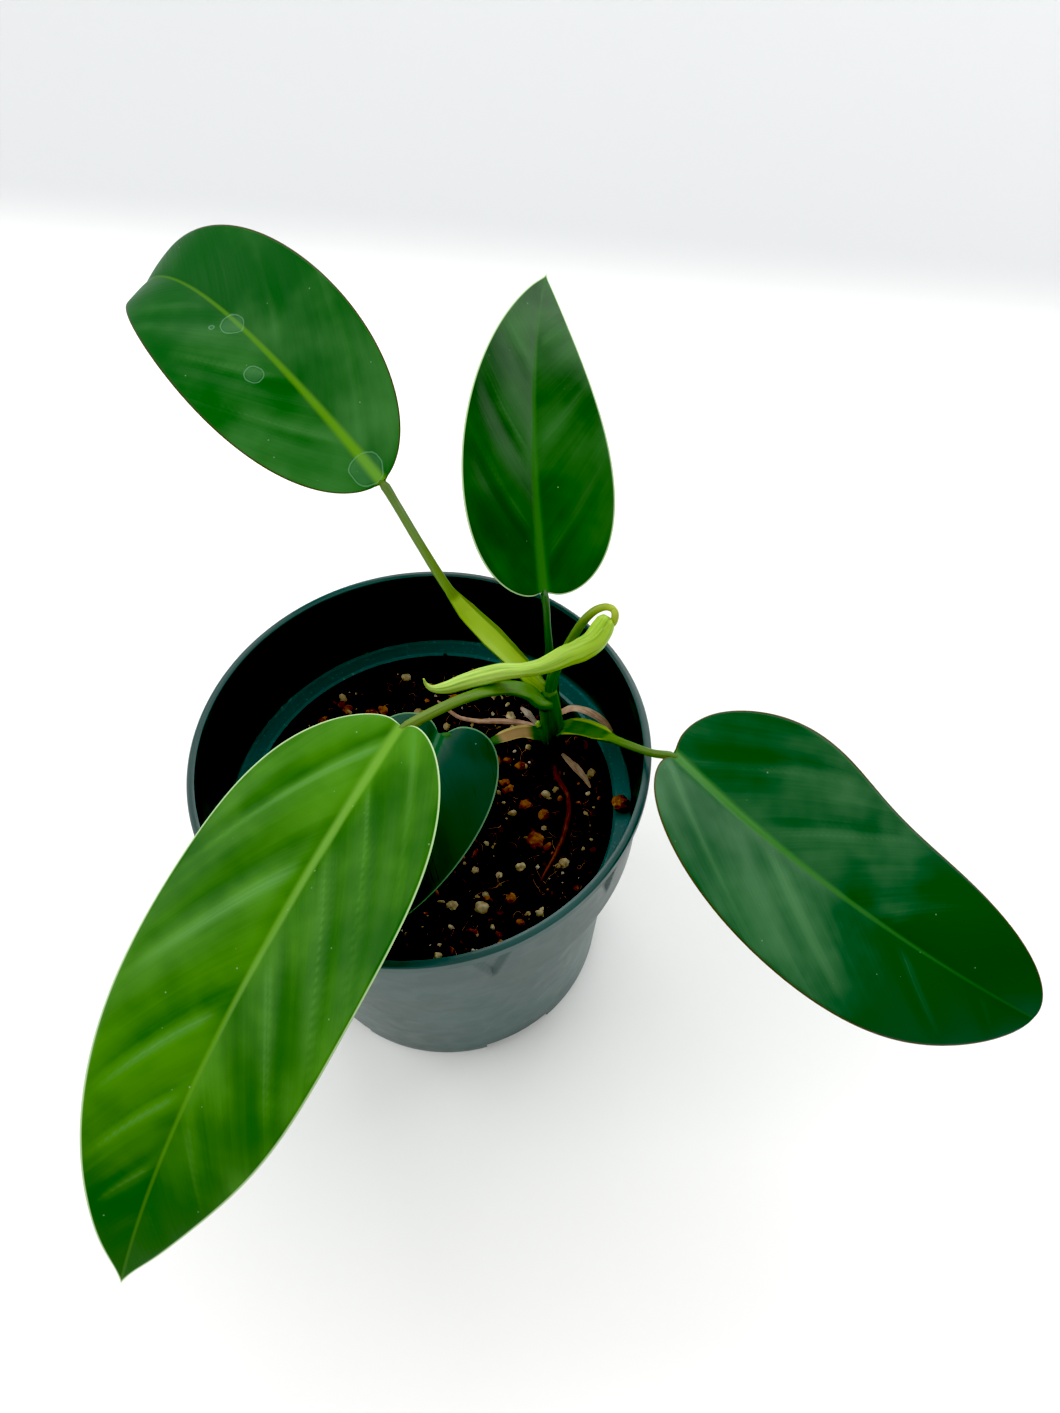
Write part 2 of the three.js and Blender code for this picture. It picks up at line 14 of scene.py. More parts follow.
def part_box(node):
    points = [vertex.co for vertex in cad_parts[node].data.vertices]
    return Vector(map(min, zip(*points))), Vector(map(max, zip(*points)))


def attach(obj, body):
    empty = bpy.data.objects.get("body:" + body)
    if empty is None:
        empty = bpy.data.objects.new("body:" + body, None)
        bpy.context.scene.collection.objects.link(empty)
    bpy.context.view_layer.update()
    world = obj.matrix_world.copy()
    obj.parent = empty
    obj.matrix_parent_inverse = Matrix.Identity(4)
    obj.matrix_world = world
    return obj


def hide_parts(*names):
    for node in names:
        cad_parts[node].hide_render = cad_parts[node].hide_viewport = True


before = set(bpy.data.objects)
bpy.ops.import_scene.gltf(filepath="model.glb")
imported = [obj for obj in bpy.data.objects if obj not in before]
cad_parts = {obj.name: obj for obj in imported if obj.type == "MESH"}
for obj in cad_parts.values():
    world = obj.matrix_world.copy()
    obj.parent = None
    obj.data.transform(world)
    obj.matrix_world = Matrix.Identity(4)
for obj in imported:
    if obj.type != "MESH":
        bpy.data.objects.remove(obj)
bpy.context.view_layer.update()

MM = 0.001
UP = np.array([0.0, 0.0, 1.0])

# -------- sizes, in millimetres

POT_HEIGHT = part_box("nursery_pot")[1].z / MM
RIM_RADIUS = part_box("nursery_pot")[1].x / MM
FOOT_RADIUS = 43
BODY_RADIUS = 47.2
COLLAR_RADIUS = 51.5
COLLAR_TOP_RADIUS = 52.6
LIP_THICKNESS = 2
LIP_HEIGHT = 3.2
LEDGE_HEIGHT = 70
WALL = 1.3
POT_SEGMENTS = 540

DRAIN_SLOTS = 5
DRAIN_SLOT_ANGLE = 26
DRAIN_SLOT_HEIGHT = 3.5
DRAIN_SLOT_DEPTH = 6
FIRST_DRAIN_SLOT = -64

STACKING_DENTS = 10
FIRST_DENT = -72.5
DENT_HALF_ANGLE = 5.2
DENT_TOP = 92
DENT_LENGTH = 14.5
DENT_DEPTH = 0.9

SOIL_HEIGHT = 66
SOIL_RADIUS = 45.2

BLADE_THICKNESS = 0.45
BLADE_ROWS = 120
BLADE_COLUMNS = 61
SINUS_REACH = 2.5
VEIN_SLOPE = 1.1  # how far towards the tip a side vein runs for each unit it runs outwards
VEIN_BEND = 0.021  # how much more it runs towards the tip for each unit out, squared

# The leaves, stalks, bracts and roots repeat the CAD source's own values, in the same order.
# A leaf's angles are in degrees. Its two rolls are at its base and its tip, and each wave is its
# height, how many there are, and where the first one starts.
LEAVES = {
    "front": {
        "base": [-1.5, -7, 115], "heading": -122, "rise": -9, "fall": -53, "bend": 1.5, "sweep": -1.5,
        "roll": [-23, 23], "length": 132, "width": 56.5, "early": 0.51, "late": 0.97, "lobe": 1.6,
        "fold": 11.5, "flatten": 0, "curl": 0.03,
        "left_wave": [4.1, 1.2, -0.34], "right_wave": [3.4, 1.2, 0.26],
    },
    "left": {
        "base": [-7.5, 59.6, 122], "heading": 128.5, "rise": 17.7, "fall": -60, "bend": 3.3, "sweep": 7.8,
        "roll": [24.5, 18.3], "length": 113.8, "width": 47.7, "early": 0.51, "late": 0.77, "lobe": 0.3,
        "fold": 16, "flatten": 0.7, "curl": 0.035, "left_wave": [0, 1, 0], "right_wave": [0, 1, 0],
    },
    "back": {
        "base": [30.5, 31, 112], "heading": 94.7, "rise": 33.6, "fall": -4, "bend": 1.5, "sweep": -15.2,
        "roll": [-18.5, -27], "length": 89.7, "width": 39.2, "early": 0.43, "late": 1.09, "lobe": 1.8,
        "fold": 11, "flatten": 0, "curl": 0.03, "left_wave": [0, 1, 0], "right_wave": [0, 1, 0],
    },
    "right": {
        "base": [57.8, -8.7, 101], "heading": -41.2, "rise": -24.5, "fall": -32.7, "bend": 1.5,
        "sweep": 25.5, "roll": [17.9, -43.7], "length": 110.4, "width": 52.4, "early": 0.33,
        "late": 0.61, "lobe": 2.3, "fold": 10, "flatten": 0, "curl": 0.02,
        "left_wave": [6.8, 1.1, 0.08], "right_wave": [1.1, 1.1, -0.33],
    },
    "inner": {
        "base": [4, 9.3, 86], "heading": -106.7, "rise": 3.6, "fall": -30, "bend": 1.5, "sweep": -1.4,
        "roll": [6, 7], "length": 50, "width": 35, "early": 0.3, "late": 0.7, "lobe": 4.8,
        "fold": 6, "flatten": 0, "curl": 0.05, "left_wave": [0, 1, 0], "right_wave": [0, 1, 0],
    },
}

# What only the looks need. Pleats are the soft folds between creases along the side veins:
# their height on the two halves, which also sets the strength of their painted light and shade,
# the creases' spacing, where the first one starts, and how unevenly they are spaced. cusp is how
# sharply the tip narrows to its point.
BLADE_LOOKS = {
    "front": {"pleats": [1.1, 1.6, 23.4, 30.3, 1], "cusp": 0.35},
    "left": {"pleats": [0.9, 0.6, 27, 8, 0.5], "cusp": 0.2},
    "back": {"pleats": [0.9, 0.8, 24, 6, 0.5], "cusp": 0.3},
    "right": {"pleats": [0.8, 1.1, 31, 24, 0.5], "cusp": 0},
    "inner": {"pleats": [0.25, 0.25, 15, 4, 0.5], "cusp": 0.2},
}

# Each station of a strand is x, y, z, half its width, and how far it reaches below and above them.
STEM = [
    [33, 14, 46, 2.6, 2.6, 2.6],
    [31.5, 13.5, 66, 3.6, 3.6, 3.6],
    [31.4, 12, 80, 3.1, 3.1, 3.1],
    [31, 12, 90, 2.7, 2.7, 2.7],
    [30.5, 12.5, 98, 2, 2, 2],
]

STALKS = {
    "front": [
        [30.4, 13, 92, 2.4, 2.4, 2.2], [28.6, 10.5, 97, 2.5, 2.3, 1.2],
        [25.7, 10.1, 101.5, 2.4, 2.1, 0.5], [21.1, 8.6, 105.5, 2, 1.8, 0.4],
        [16, 5.4, 108.8, 1.5, 1.5, 0.6], [11.7, 2.3, 111, 1.3, 1.3, 1],
        [7.7, -0.9, 112.8, 1.25, 1.2, 1.1], [3.7, -4.1, 114.2, 1.25, 1.2, 1.1],
        [-0.2, -7, 114.9, 1.2, 1.2, 1.1],
    ],
    "left": [
        [30.2, 13, 95, 2.2, 2.2, 2], [27, 14.6, 100, 2.4, 2.1, 0.2], [22.7, 17.3, 105, 2.6, 2.1, -1],
        [17.9, 20.9, 109, 2.9, 2.2, -1.4], [12.3, 25.8, 112.6, 2.4, 1.9, -1.2],
        [8.4, 29.9, 115.6, 1.2, 1.3, 0.4], [2, 40.9, 119, 1.1, 1.1, 1], [-4.3, 53.5, 121, 1.1, 1.1, 1],
        [-6.7, 58.1, 121.8, 1.2, 1.2, 1.1],
    ],
    "back": [
        [31.3, 13.1, 90, 2, 2, 1.8], [31.2, 14.7, 95, 1.9, 1.9, 0.6], [31.1, 17.2, 100.5, 1.6, 1.5, 0.2],
        [31.1, 20.1, 104.5, 1, 1.1, 0.6], [30.9, 24, 108, 0.9, 0.9, 0.9],
        [30.8, 27.8, 110.8, 0.9, 0.9, 0.9], [30.6, 29.6, 111.5, 1, 1, 1],
    ],
    "right": [
        [31.9, 12.1, 79, 2.4, 2.2, 2], [33.9, 11.1, 84, 2.6, 2.1, 0.2], [37.9, 8.2, 88.5, 2.7, 2.2, -1.2],
        [42, 3.7, 92.5, 2.3, 1.8, -1.1], [44.9, -0.2, 95.5, 1.1, 1.2, 0.6], [48.4, -3.9, 98, 1, 1, 0.9],
        [53.1, -7.4, 100, 0.9, 1, 0.9], [56.7, -8.9, 101, 1, 1, 1],
    ],
    "inner": [
        [30.7, 12.9, 75, 2.2, 2, 2], [27.7, 13.2, 78, 2.2, 2, 0.2], [23.9, 12.6, 80.5, 1.9, 1.8, -0.7],
        [19.7, 10.6, 82, 1.7, 1.6, -0.7], [16.2, 8.9, 82, 1.2, 1.2, 0.4], [11.7, 7.2, 82.3, 1.1, 1.1, 1],
        [7.9, 7.3, 83.8, 1.1, 1.1, 1], [5.6, 8.8, 85.4, 1.1, 1.1, 1],
    ],
}

NEW_STALK = [
    [30.8, 12.4, 95, 1.6, 1.5, 1.5], [31.9, 14.3, 102, 1.5, 1.4, 1.4], [34.9, 17.1, 107.5, 1.2, 1.2, 1.2],
    [37.9, 19, 113, 1.1, 1.1, 1.1], [39.9, 19, 117, 1, 1, 1], [41.9, 19.1, 119.2, 0.9, 0.9, 0.9],
    [44, 18.9, 120.2, 0.8, 0.8, 0.8], [45.4, 18.1, 120.2, 0.8, 0.8, 0.8],
    [45.8, 16.9, 119.6, 0.9, 0.9, 0.9],
]

NEW_BLADE = [
    [44.2, 17.1, 118.8, 1.3, 1.3, 1.2], [43.6, 16.3, 118.4, 2.2, 2, 2],
    [42.8, 15.3, 117.4, 2.6, 2.4, 2.4], [40.7, 13.1, 115.6, 2.8, 2.6, 2.6],
    [38, 12.4, 113.8, 2.9, 2.7, 2.7], [34.6, 12.1, 112, 2.6, 2.4, 2.4], [31.6, 11.3, 110.8, 2.2, 2, 2],
    [28.6, 10.5, 110, 1.8, 1.7, 1.7], [24.5, 10.1, 109.6, 1.6, 1.5, 1.5], [20, 9.9, 109.6, 2, 1.8, 1.8],
    [15.4, 8.7, 109.8, 2.1, 1.9, 1.9], [11, 7, 110.2, 1.9, 1.7, 1.7], [7.2, 5.3, 110.8, 1.4, 1.3, 1.3],
    [4.6, 4.7, 111.6, 0.8, 0.8, 0.8], [3.3, 4.9, 113, 0.5, 0.4, 0.4], [2.9, 5.1, 115, 0.2, 0.2, 0.2],
]

BRACTS = {
    "bract_right": [
        [34, 18.2, 80, 0.9, 0.4, 0.3], [36.8, 18.4, 81.2, 1, 0.4, 0.2], [40.8, 16.9, 81.4, 1.1, 0.5, 0.2],
        [44.4, 14.8, 80, 1, 0.5, 0.2], [46.4, 13, 77.8, 0.5, 0.4, 0.2],
    ],
    "bract_front": [
        [33.6, 10.1, 73, 0.5, 0.4, 0.4], [35.3, 8.2, 72.4, 0.9, 0.5, 0.2], [37.2, 6.3, 71.6, 1.1, 0.6, 0.2],
        [39.1, 4.1, 70.4, 0.8, 0.5, 0.2], [40.5, 2, 69, 0.3, 0.3, 0.2],
    ],
    "bract_left": [
        [27.6, 17.5, 76, 0.6, 0.4, 0.3], [25.4, 20, 77.4, 1, 0.4, 0.3], [23.8, 22.4, 76.4, 0.4, 0.3, 0.3],
    ],
}

AERIAL_ROOT = [
    [29, 16.6, 74, 0.8, 0.8, 0.8], [25, 19.9, 72.6, 0.8, 0.8, 0.8], [19.2, 21.8, 71.4, 0.8, 0.8, 0.8],
    [12.6, 22.7, 70.6, 0.7, 0.7, 0.7], [7.3, 24.6, 70, 0.6, 0.6, 0.6], [3.5, 28.1, 69.6, 0.5, 0.5, 0.5],
    [1.3, 30.7, 69.4, 0.3, 0.3, 0.3],
]

SURFACE_ROOT = [
    [31.6, 9, 69.2, 0.7, 0.6, 0.6], [32.3, 5.4, 68.6, 0.8, 0.6, 0.6], [34.4, 1.1, 68.4, 0.7, 0.6, 0.6],
    [34.6, -3.5, 68.2, 0.7, 0.6, 0.6], [33, -10.7, 68.2, 0.7, 0.6, 0.6], [30.8, -15.3, 68, 0.6, 0.5, 0.5],
    [26.7, -22.6, 67.8, 0.3, 0.3, 0.3],
]

# -------- meshes


def put_in_scene(name, data):
    made = bpy.data.objects.new(name, data)
    bpy.context.scene.collection.objects.link(made)
    return made


def closed_mesh(name, points, faces):
    """A mesh from points in millimetres, with every face turned outwards."""
    mesh = bpy.data.meshes.new(name)
    mesh.from_pydata((np.asarray(points) * MM).tolist(), [], faces)
    shape = bmesh.new()
    shape.from_mesh(mesh)
    bmesh.ops.recalc_face_normals(shape, faces=shape.faces)
    shape.to_mesh(mesh)
    shape.free()
    return mesh


def add_piece(name, points, faces, material, slot, replaces=(), attributes=None, smooth=True):
    """A closed piece of the part, with one number per point in each attribute."""
    mesh = closed_mesh(name, points, faces)
    for key, values in (attributes or {}).items():
        layer = mesh.attributes.new(key, "FLOAT", "POINT")
        layer.data.foreach_set("value", np.asarray(values, np.float32))
    if smooth:
        mesh.shade_smooth()
    else:
        mesh.shade_flat()
    mesh.materials.append(material)
    piece = put_in_scene(name, mesh)
    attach(piece, "root")
    if replaces:
        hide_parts(*replaces)
    return piece


def ring_faces(rings, sides):
    """Quads between closed rings of points, and a face over each end."""
    faces = []
    for ring in range(rings - 1):
        for k in range(sides):
            a = ring * sides + k
            b = ring * sides + (k + 1) % sides
            faces.append((a, b, b + sides, a + sides))
    faces.append(tuple(range(sides)))
    faces.append(tuple(range((rings - 1) * sides, rings * sides)))
    return faces


def unit(vectors):
    return vectors / np.linalg.norm(vectors, axis=-1, keepdims=True)


def smooth_steps(x):
    return np.clip(x, 0, 1) ** 2 * (3 - 2 * np.clip(x, 0, 1))


def curve_through(stations, steps):
    """Points, tangents and sizes along a centripetal Catmull-Rom curve, like the CAD's strands."""
    control, sizes = np.hsplit(np.array(stations, float), [3])
    control = np.vstack([2 * control[0] - control[1], control, 2 * control[-1] - control[-2]])
    spans = len(stations) - 1
    points = []
    for step in range(spans * steps + 1):
        along = step / steps
        span = min(int(along), spans - 1)
        t = along - span
        p = control[span : span + 4]
        gaps = np.maximum(np.sum((p[1:] - p[:-1]) ** 2, axis=1) ** 0.25, 1e-4)
        before, here, after = (p[1:] - p[:-1]) / gaps[:, None]
        leave = (before - (p[2] - p[0]) / (gaps[0] + gaps[1]) + here) * gaps[1]
        arrive = (here - (p[3] - p[1]) / (gaps[1] + gaps[2]) + after) * gaps[1]
        bend = -3 * p[1] + 3 * p[2] - 2 * leave - arrive
        twist = 2 * p[1] - 2 * p[2] + leave + arrive
        points.append(p[1] + leave * t + bend * t**2 + twist * t**3)
    points = np.array(points)
    where = np.linspace(0, spans, spans * steps + 1)
    widths = np.stack([np.interp(where, range(spans + 1), sizes[:, k]) for k in range(3)], axis=1)
    return points, unit(np.gradient(points, axis=0)), widths


def strand(node, stations, material, slot, lift=UP, sides=28, steps=14, shape=None):
    """A closed tapered strand in place of a CAD node, through its stations.

    shape(along, angle) gives each section point's share of its size.
    """
    points, tangents, sizes = curve_through(stations, steps)
    rings = len(points)
    side = unit(np.cross(tangents, lift))
    above = np.cross(side, tangents)
    angles = 2 * np.pi * np.arange(sides) / sides
    along = np.linspace(0, 1, rings)
    share = np.ones((rings, sides)) if shape is None else shape(along[:, None], angles[None, :])
    across = sizes[:, :1] * np.cos(angles) * share
    heights = np.where(np.sin(angles) < 0, sizes[:, 1:2], sizes[:, 2:3])
    over = heights * np.sin(angles) * share
    grid = points[:, None] + side[:, None] * across[..., None] + above[:, None] * over[..., None]
    length = np.concatenate([[0], np.cumsum(np.linalg.norm(np.diff(points, axis=0), axis=1))])
    attributes = {
        "along": np.repeat(along, sides),
        "distance": np.repeat(length, sides),
        "around": np.tile(angles / (2 * np.pi), rings),
        "crown": np.tile(np.sin(angles), rings),
        "hollow": np.repeat(smooth_steps(-2 * sizes[:, 2]), sides),
    }
    faces = ring_faces(rings, sides)
    add_piece(f"{node}_fine", grid.reshape(-1, 3), faces, material, slot=slot, replaces=[node],
              attributes=attributes)


# -------- material nodes


class Look:
    """A material with a Principled shader, and short calls for the nodes that its pattern uses."""

    def __init__(self, name, roughness, **fixed):
        self.material = bpy.data.materials.new(name)
        self.material.use_nodes = True
        self.tree = self.material.node_tree
        self.shader = self.tree.nodes["Principled BSDF"]
        self.shader.inputs["Roughness"].default_value = roughness
        for key, value in fixed.items():
            self.shader.inputs[key.replace("_", " ")].default_value = value

    def put(self, socket, value):
        """A link into a socket, or a plain value for it."""
        if isinstance(value, bpy.types.NodeSocket):
            self.tree.links.new(value, socket)
        elif socket.type == "RGBA":
            socket.default_value = (*value, 1)
        else:
            socket.default_value = value

    def set(self, key, value):
        self.put(self.shader.inputs[key], value)

    def node(self, kind, given):
        """A new node, with what is given put in its inputs."""
        made = self.tree.nodes.new(kind)
        for key, value in given.items():
            self.put(made.inputs[key], value)
        return made

    def number(self, name):
        node = self.tree.nodes.new("ShaderNodeAttribute")
        node.attribute_name = name
        return node.outputs["Fac"]

    def math(self, operation, *values):
        node = self.node("ShaderNodeMath", dict(enumerate(values)))
        node.operation = operation
        return node.outputs[0]

    def times(self, value, factor, plus=0.0):
        return self.math("MULTIPLY_ADD", value, factor, plus)

    def rise(self, value, low, high):
        """0 below low, 1 above high and smooth between; low may be above high."""
        given = {"Value": value, "From Min": low, "From Max": high}
        node = self.node("ShaderNodeMapRange", given)
        node.interpolation_type = "SMOOTHSTEP"
        return node.outputs["Result"]

    def place(self):
        return self.tree.nodes.new("ShaderNodeTexCoord").outputs["Object"]

    def noise(self, scale, detail=3.0, vector=None, distortion=0.0):
        given = {"Scale": scale, "Detail": detail, "Distortion": distortion}
        given["Vector"] = vector or self.place()
        return self.node("ShaderNodeTexNoise", given).outputs["Fac"]

    def drawn_out(self, across, times, along, times_along, detail):
        """Noise drawn out along one number, with its streaks stacked across another."""
        given = {"X": self.times(across, times), "Y": self.times(along, times_along)}
        return self.noise(1.0, detail, self.node("ShaderNodeCombineXYZ", given).outputs[0])

    def dots(self, scale, size):
        """Scattered round specks: 1 inside a speck of that share of a cell, in one cell of three."""
        cells = self.node("ShaderNodeTexVoronoi", {"Scale": scale, "Vector": self.place()})
        chosen = self.rise(cells.outputs["Color"], 0.62, 0.68)
        return self.times(self.rise(cells.outputs["Distance"], size, size * 0.5), chosen)

    def mix(self, share, first, second):
        """The colour that lies that share of the way from first to second."""
        node = self.node("ShaderNodeMix", {"Factor": share, 6: first, 7: second})
        node.data_type = "RGBA"
        return node.outputs[2]

    def blend(self, *parts):
        """The sum of (value, weight) pairs."""
        total = 0.0
        for value, weight in parts:
            total = self.times(value, weight, total)
        return total

    def bump(self, height, strength, distance_mm):
        given = {"Height": height, "Strength": strength, "Distance": distance_mm * MM}
        self.set("Normal", self.node("ShaderNodeBump", given).outputs[0])


def leaf_look(name, deep, bright, rib, margin, underside, gloss, shine, lean, fade, marks=()):
    """A blade: streaks along its side veins, a pale midrib, a thin margin, specks, dried drops,
    and painted light: painted light and shade on its pleats, with a painted sheen over them.

    Its colour lies between deep and bright. gloss is its roughness, and shine how much it mirrors.
    lean is how much lighter its left half is than its right: painted light, one half drawn
    lighter as light falls on it. fade is [where along it its tone starts to change, how much
    lighter it gets]: a painted sheen that changes towards the tip. Each mark is a dried drop: how
    far along the blade it lies, how far sideways, and its radius, in millimetres.
    """
    look = Look(name, roughness=gloss, Specular_IOR_Level=shine)
    vein, reach, along = look.number("vein"), look.number("reach"), look.number("along")
    pleat_shape_and_painted_light = look.number("pleat_shape_and_painted_light")
    streaks = look.drawn_out(vein, 0.9, reach, 0.05, 4.0)
    bands = look.drawn_out(vein, 0.1, reach, 0.04, 2.0)
    patches = look.noise(45, 3.0)
    # Painted light: one half is drawn lighter, and the tone changes towards the tip, as painted sheen.
    side = look.math("SUBTRACT", look.rise(look.number("sideways"), -16.0, 12.0), 0.5)
    towards_tip = look.rise(along, fade[0], fade[0] + 0.35)
    # The tone also takes up the pleats' painted light and shade.
    tone = look.blend(
        (bands, 0.24), (patches, 0.68), (streaks, 0.08), (pleat_shape_and_painted_light, 0.07), (side, lean),
        (towards_tip, fade[1]))
    colour = look.mix(look.rise(tone, 0.3, 0.7), deep, bright)

    # Painted sheen: where the pleats catch the light, the colour is drawn towards a pale grey-green, a
    # painted reflection.
    painted_sheen_colour = (0.14, 0.3, 0.13)
    sheen = look.times(look.rise(pleat_shape_and_painted_light, 0.2, 1.8), look.rise(streaks, 0.2, 0.7))
    colour = look.mix(look.times(sheen, 0.4), colour, painted_sheen_colour)

    left_to_tip = look.math("SUBTRACT", 1.0, along)
    rib_width = look.times(look.math("POWER", left_to_tip, 2.0), 1.5, 0.38)
    rib_edge, rib_middle = look.times(rib_width, 1.3), look.times(rib_width, 0.2)
    paleness = look.times(along, -0.78, 0.95)
    on_rib = look.times(look.rise(reach, rib_edge, rib_middle), paleness)
    colour = look.mix(on_rib, colour, rib)
    colour = look.mix(look.rise(look.number("rim"), 0.5, 0.18), colour, margin)

    film, speck = (0.2, 0.4, 0.25), (0.4, 0.55, 0.35)
    for distance, sideways, radius in marks:
        on_mark = dried_drop(look, distance, sideways, radius)
        colour = look.mix(look.times(on_mark, 0.4), colour, film)
    colour = look.mix(look.times(look.dots(300, 0.07), 0.35), colour, speck)
    look.set("Base Color", look.mix(look.number("under"), colour, underside))
    look.set("Roughness", look.times(streaks, 0.3, gloss - 0.15))
    look.bump(look.blend((streaks, 0.8), (look.noise(1500, 2.0), 0.2)), 0.4, 0.08)
    return look.material


def dried_drop(look, distance, sideways, radius):
    """1 on the ring that a dried drop of water leaves, and a thin film inside it."""
    far_along = look.math("POWER", look.math("SUBTRACT", look.number("distance"), distance), 2.0)
    far_across = look.math("POWER", look.math("SUBTRACT", look.number("sideways"), sideways), 2.0)
    far = look.math("SQRT", look.math("ADD", far_along, far_across))
    far = look.times(look.noise(260, 3.0), 1.6, far)
    off_ring = look.math("ABSOLUTE", look.math("SUBTRACT", far, radius + 0.8))
    film = look.times(look.rise(far, radius + 0.8, radius), 0.22)
    return look.math("MAXIMUM", look.rise(off_ring, 0.28, 0.0), film)


def stalk_look(name, root, tip, lines_and_painted_shade, inside=None, rim=None, glow=0.0):
    """A fleshy stalk with fine streaks along it, its colour turning from its root to its tip, and
    painted shade on its underside in the colour of the streaks.

    inside is the colour in its open channel, and rim the colour of the channel's edges. glow is
    how much light scatters inside it.
    """
    look = Look(
        name, roughness=0.42, Specular_IOR_Level=0.3, Subsurface_Weight=glow, Subsurface_Scale=0.002)
    along, crown, hollow = look.number("along"), look.number("crown"), look.number("hollow")
    fine = look.drawn_out(look.number("around"), 26.0, look.number("distance"), 0.08, 4.0)
    colour = look.mix(look.rise(along, 0.15, 0.75), root, tip)
    colour = look.mix(look.times(look.rise(fine, 0.4, 0.72), 0.6), colour, lines_and_painted_shade)
    # Painted shade: the underside is drawn darker, in the colour of the fine streaks.
    colour = look.mix(look.times(look.rise(crown, 0.3, -0.9), 0.35), colour, lines_and_painted_shade)
    in_channel = look.times(hollow, look.rise(crown, 0.05, 0.4))
    colour = look.mix(in_channel, colour, inside or tip)
    off_rim = look.math("ABSOLUTE", look.math("SUBTRACT", crown, 0.2))
    colour = look.mix(look.times(hollow, look.rise(off_rim, 0.5, 0.3)), colour, rim or tip)
    colour = look.mix(look.times(look.dots(420, 0.12), 0.4), colour, (0.35, 0.42, 0.2))
    look.set("Base Color", colour)
    look.set("Roughness", look.times(look.noise(300), 0.25, 0.3))
    look.bump(look.blend((fine, 1.0), (look.noise(900), 0.4)), 0.6, 0.12)
    return look.material


def fibre_look(name, pale, dark):
    """A dry papery or woody strand, streaked along its length."""
    look = Look(name, roughness=0.75)
    streaks = look.drawn_out(look.number("around"), 18.0, look.number("along"), 5.0, 5.0)
    share = look.blend((streaks, 0.6), (look.noise(420, 3.0), 0.4))
    look.set("Base Color", look.mix(look.rise(share, 0.35, 0.65), dark, pale))
    look.bump(share, 0.8, 0.12)
    return look.material


def crumb_look(name, dark, mid, pale, scale, bump_mm=0.3):
    """Loose ground material, coloured by fine noise in three tones."""
    look = Look(name, roughness=0.9)
    tone = look.noise(scale, 5.0)
    flecks = look.noise(scale * 3.1, 3.0)
    colour = look.mix(look.rise(tone, 0.42, 0.62), dark, mid)
    colour = look.mix(look.rise(flecks, 0.58, 0.74), colour, pale)
    look.set("Base Color", colour)
    look.bump(look.math("ADD", tone, look.times(flecks, 0.5)), 0.9, bump_mm)
    return look.material


def pot_look():
    """Moulded satin plastic, dark green, with scuffs and a little dirt on it, and painted light on its
    ledge.
    """
    look = Look("pot_plastic", roughness=0.36, Specular_IOR_Level=0.5)
    haze = look.noise(22, 4.0)
    scuffs = look.noise(160, 5.0, distortion=0.6)
    colour = look.mix(look.rise(haze, 0.35, 0.7), (0.005, 0.036, 0.031), (0.01, 0.06, 0.052))
    scuffed = look.times(look.rise(scuffs, 0.6, 0.8), 0.25)
    colour = look.mix(scuffed, colour, (0.03, 0.09, 0.08))
    # Painted light: the inner ledge is drawn a lighter teal than the rest of the plastic, as light falls on
    # its upper face, with scattered painted sparkle highlights.
    painted_sparkles = look.rise(look.noise(900, 3.0), 0.58, 0.8)
    painted_ledge_light = look.mix(painted_sparkles, (0.022, 0.13, 0.12), (0.12, 0.28, 0.26))
    colour = look.mix(look.number("ledge"), colour, painted_ledge_light)
    dirt = look.times(look.dots(130, 0.11), 0.8)
    colour = look.mix(dirt, colour, (0.012, 0.01, 0.008))
    look.set("Base Color", colour)
    look.set("Roughness", look.times(scuffs, 0.2, 0.24))
    look.bump(look.math("ADD", look.noise(700), look.times(haze, 3.0)), 0.25, 0.04)
    return look.material


def floor_look():
    """White paper, a touch greyer behind a line that runs slightly askew. It works in metres."""
    look = Look("studio_floor", roughness=0.7)
    place = look.node("ShaderNodeSeparateXYZ", {"Vector": look.place()})
    back = look.times(place.outputs["X"], 0.22, place.outputs["Y"])
    far_back = look.rise(back, 0.26, 0.38)
    grain = look.mix(look.noise(3, 2.0), (0.88, 0.88, 0.87), (0.92, 0.92, 0.91))
    look.set("Base Color", look.mix(far_back, grain, (0.51, 0.52, 0.525)))
    return look.material


# -------- leaf blades


def leaf_directions(leaf, s):
    """The way the midrib runs at s, from 0 at the base to 1 at the tip."""
    pitch = np.radians(leaf["rise"] + (leaf["fall"] - leaf["rise"]) * s ** leaf["bend"])
    yaw = np.radians(leaf["heading"] + leaf["sweep"] * s)
    return np.stack([np.cos(pitch) * np.cos(yaw), np.cos(pitch) * np.sin(yaw), np.sin(pitch)], axis=-1)


def spine_points(leaf, s):
    """The midrib's points at s."""
    count = 800
    fine = np.linspace(0, 1, count + 1)
    steps = leaf_directions(leaf, (fine[1:] + fine[:-1]) / 2) * leaf["length"] / count
    walked = np.vstack([np.zeros(3), np.cumsum(steps, axis=0)]) + leaf["base"]
    return np.stack([np.interp(s, fine, walked[:, k]) for k in range(3)], axis=-1)


def outline_share(leaf, s, cusp):
    """Half the blade's width at s, as a share of its widest, with the tip drawn out to a point."""
    widest = leaf["early"] / (leaf["early"] + leaf["late"])
    share = (s / widest) ** leaf["early"] * ((1 - s) / (1 - widest)) ** leaf["late"]
    return share * (1 - cusp * np.exp(-(((1 - s) / 0.045) ** 2)))


def rib_half_width(s):
    """Half the midrib's width at s, in millimetres."""
    return 0.22 + 1.1 * (1 - s) ** 2.4


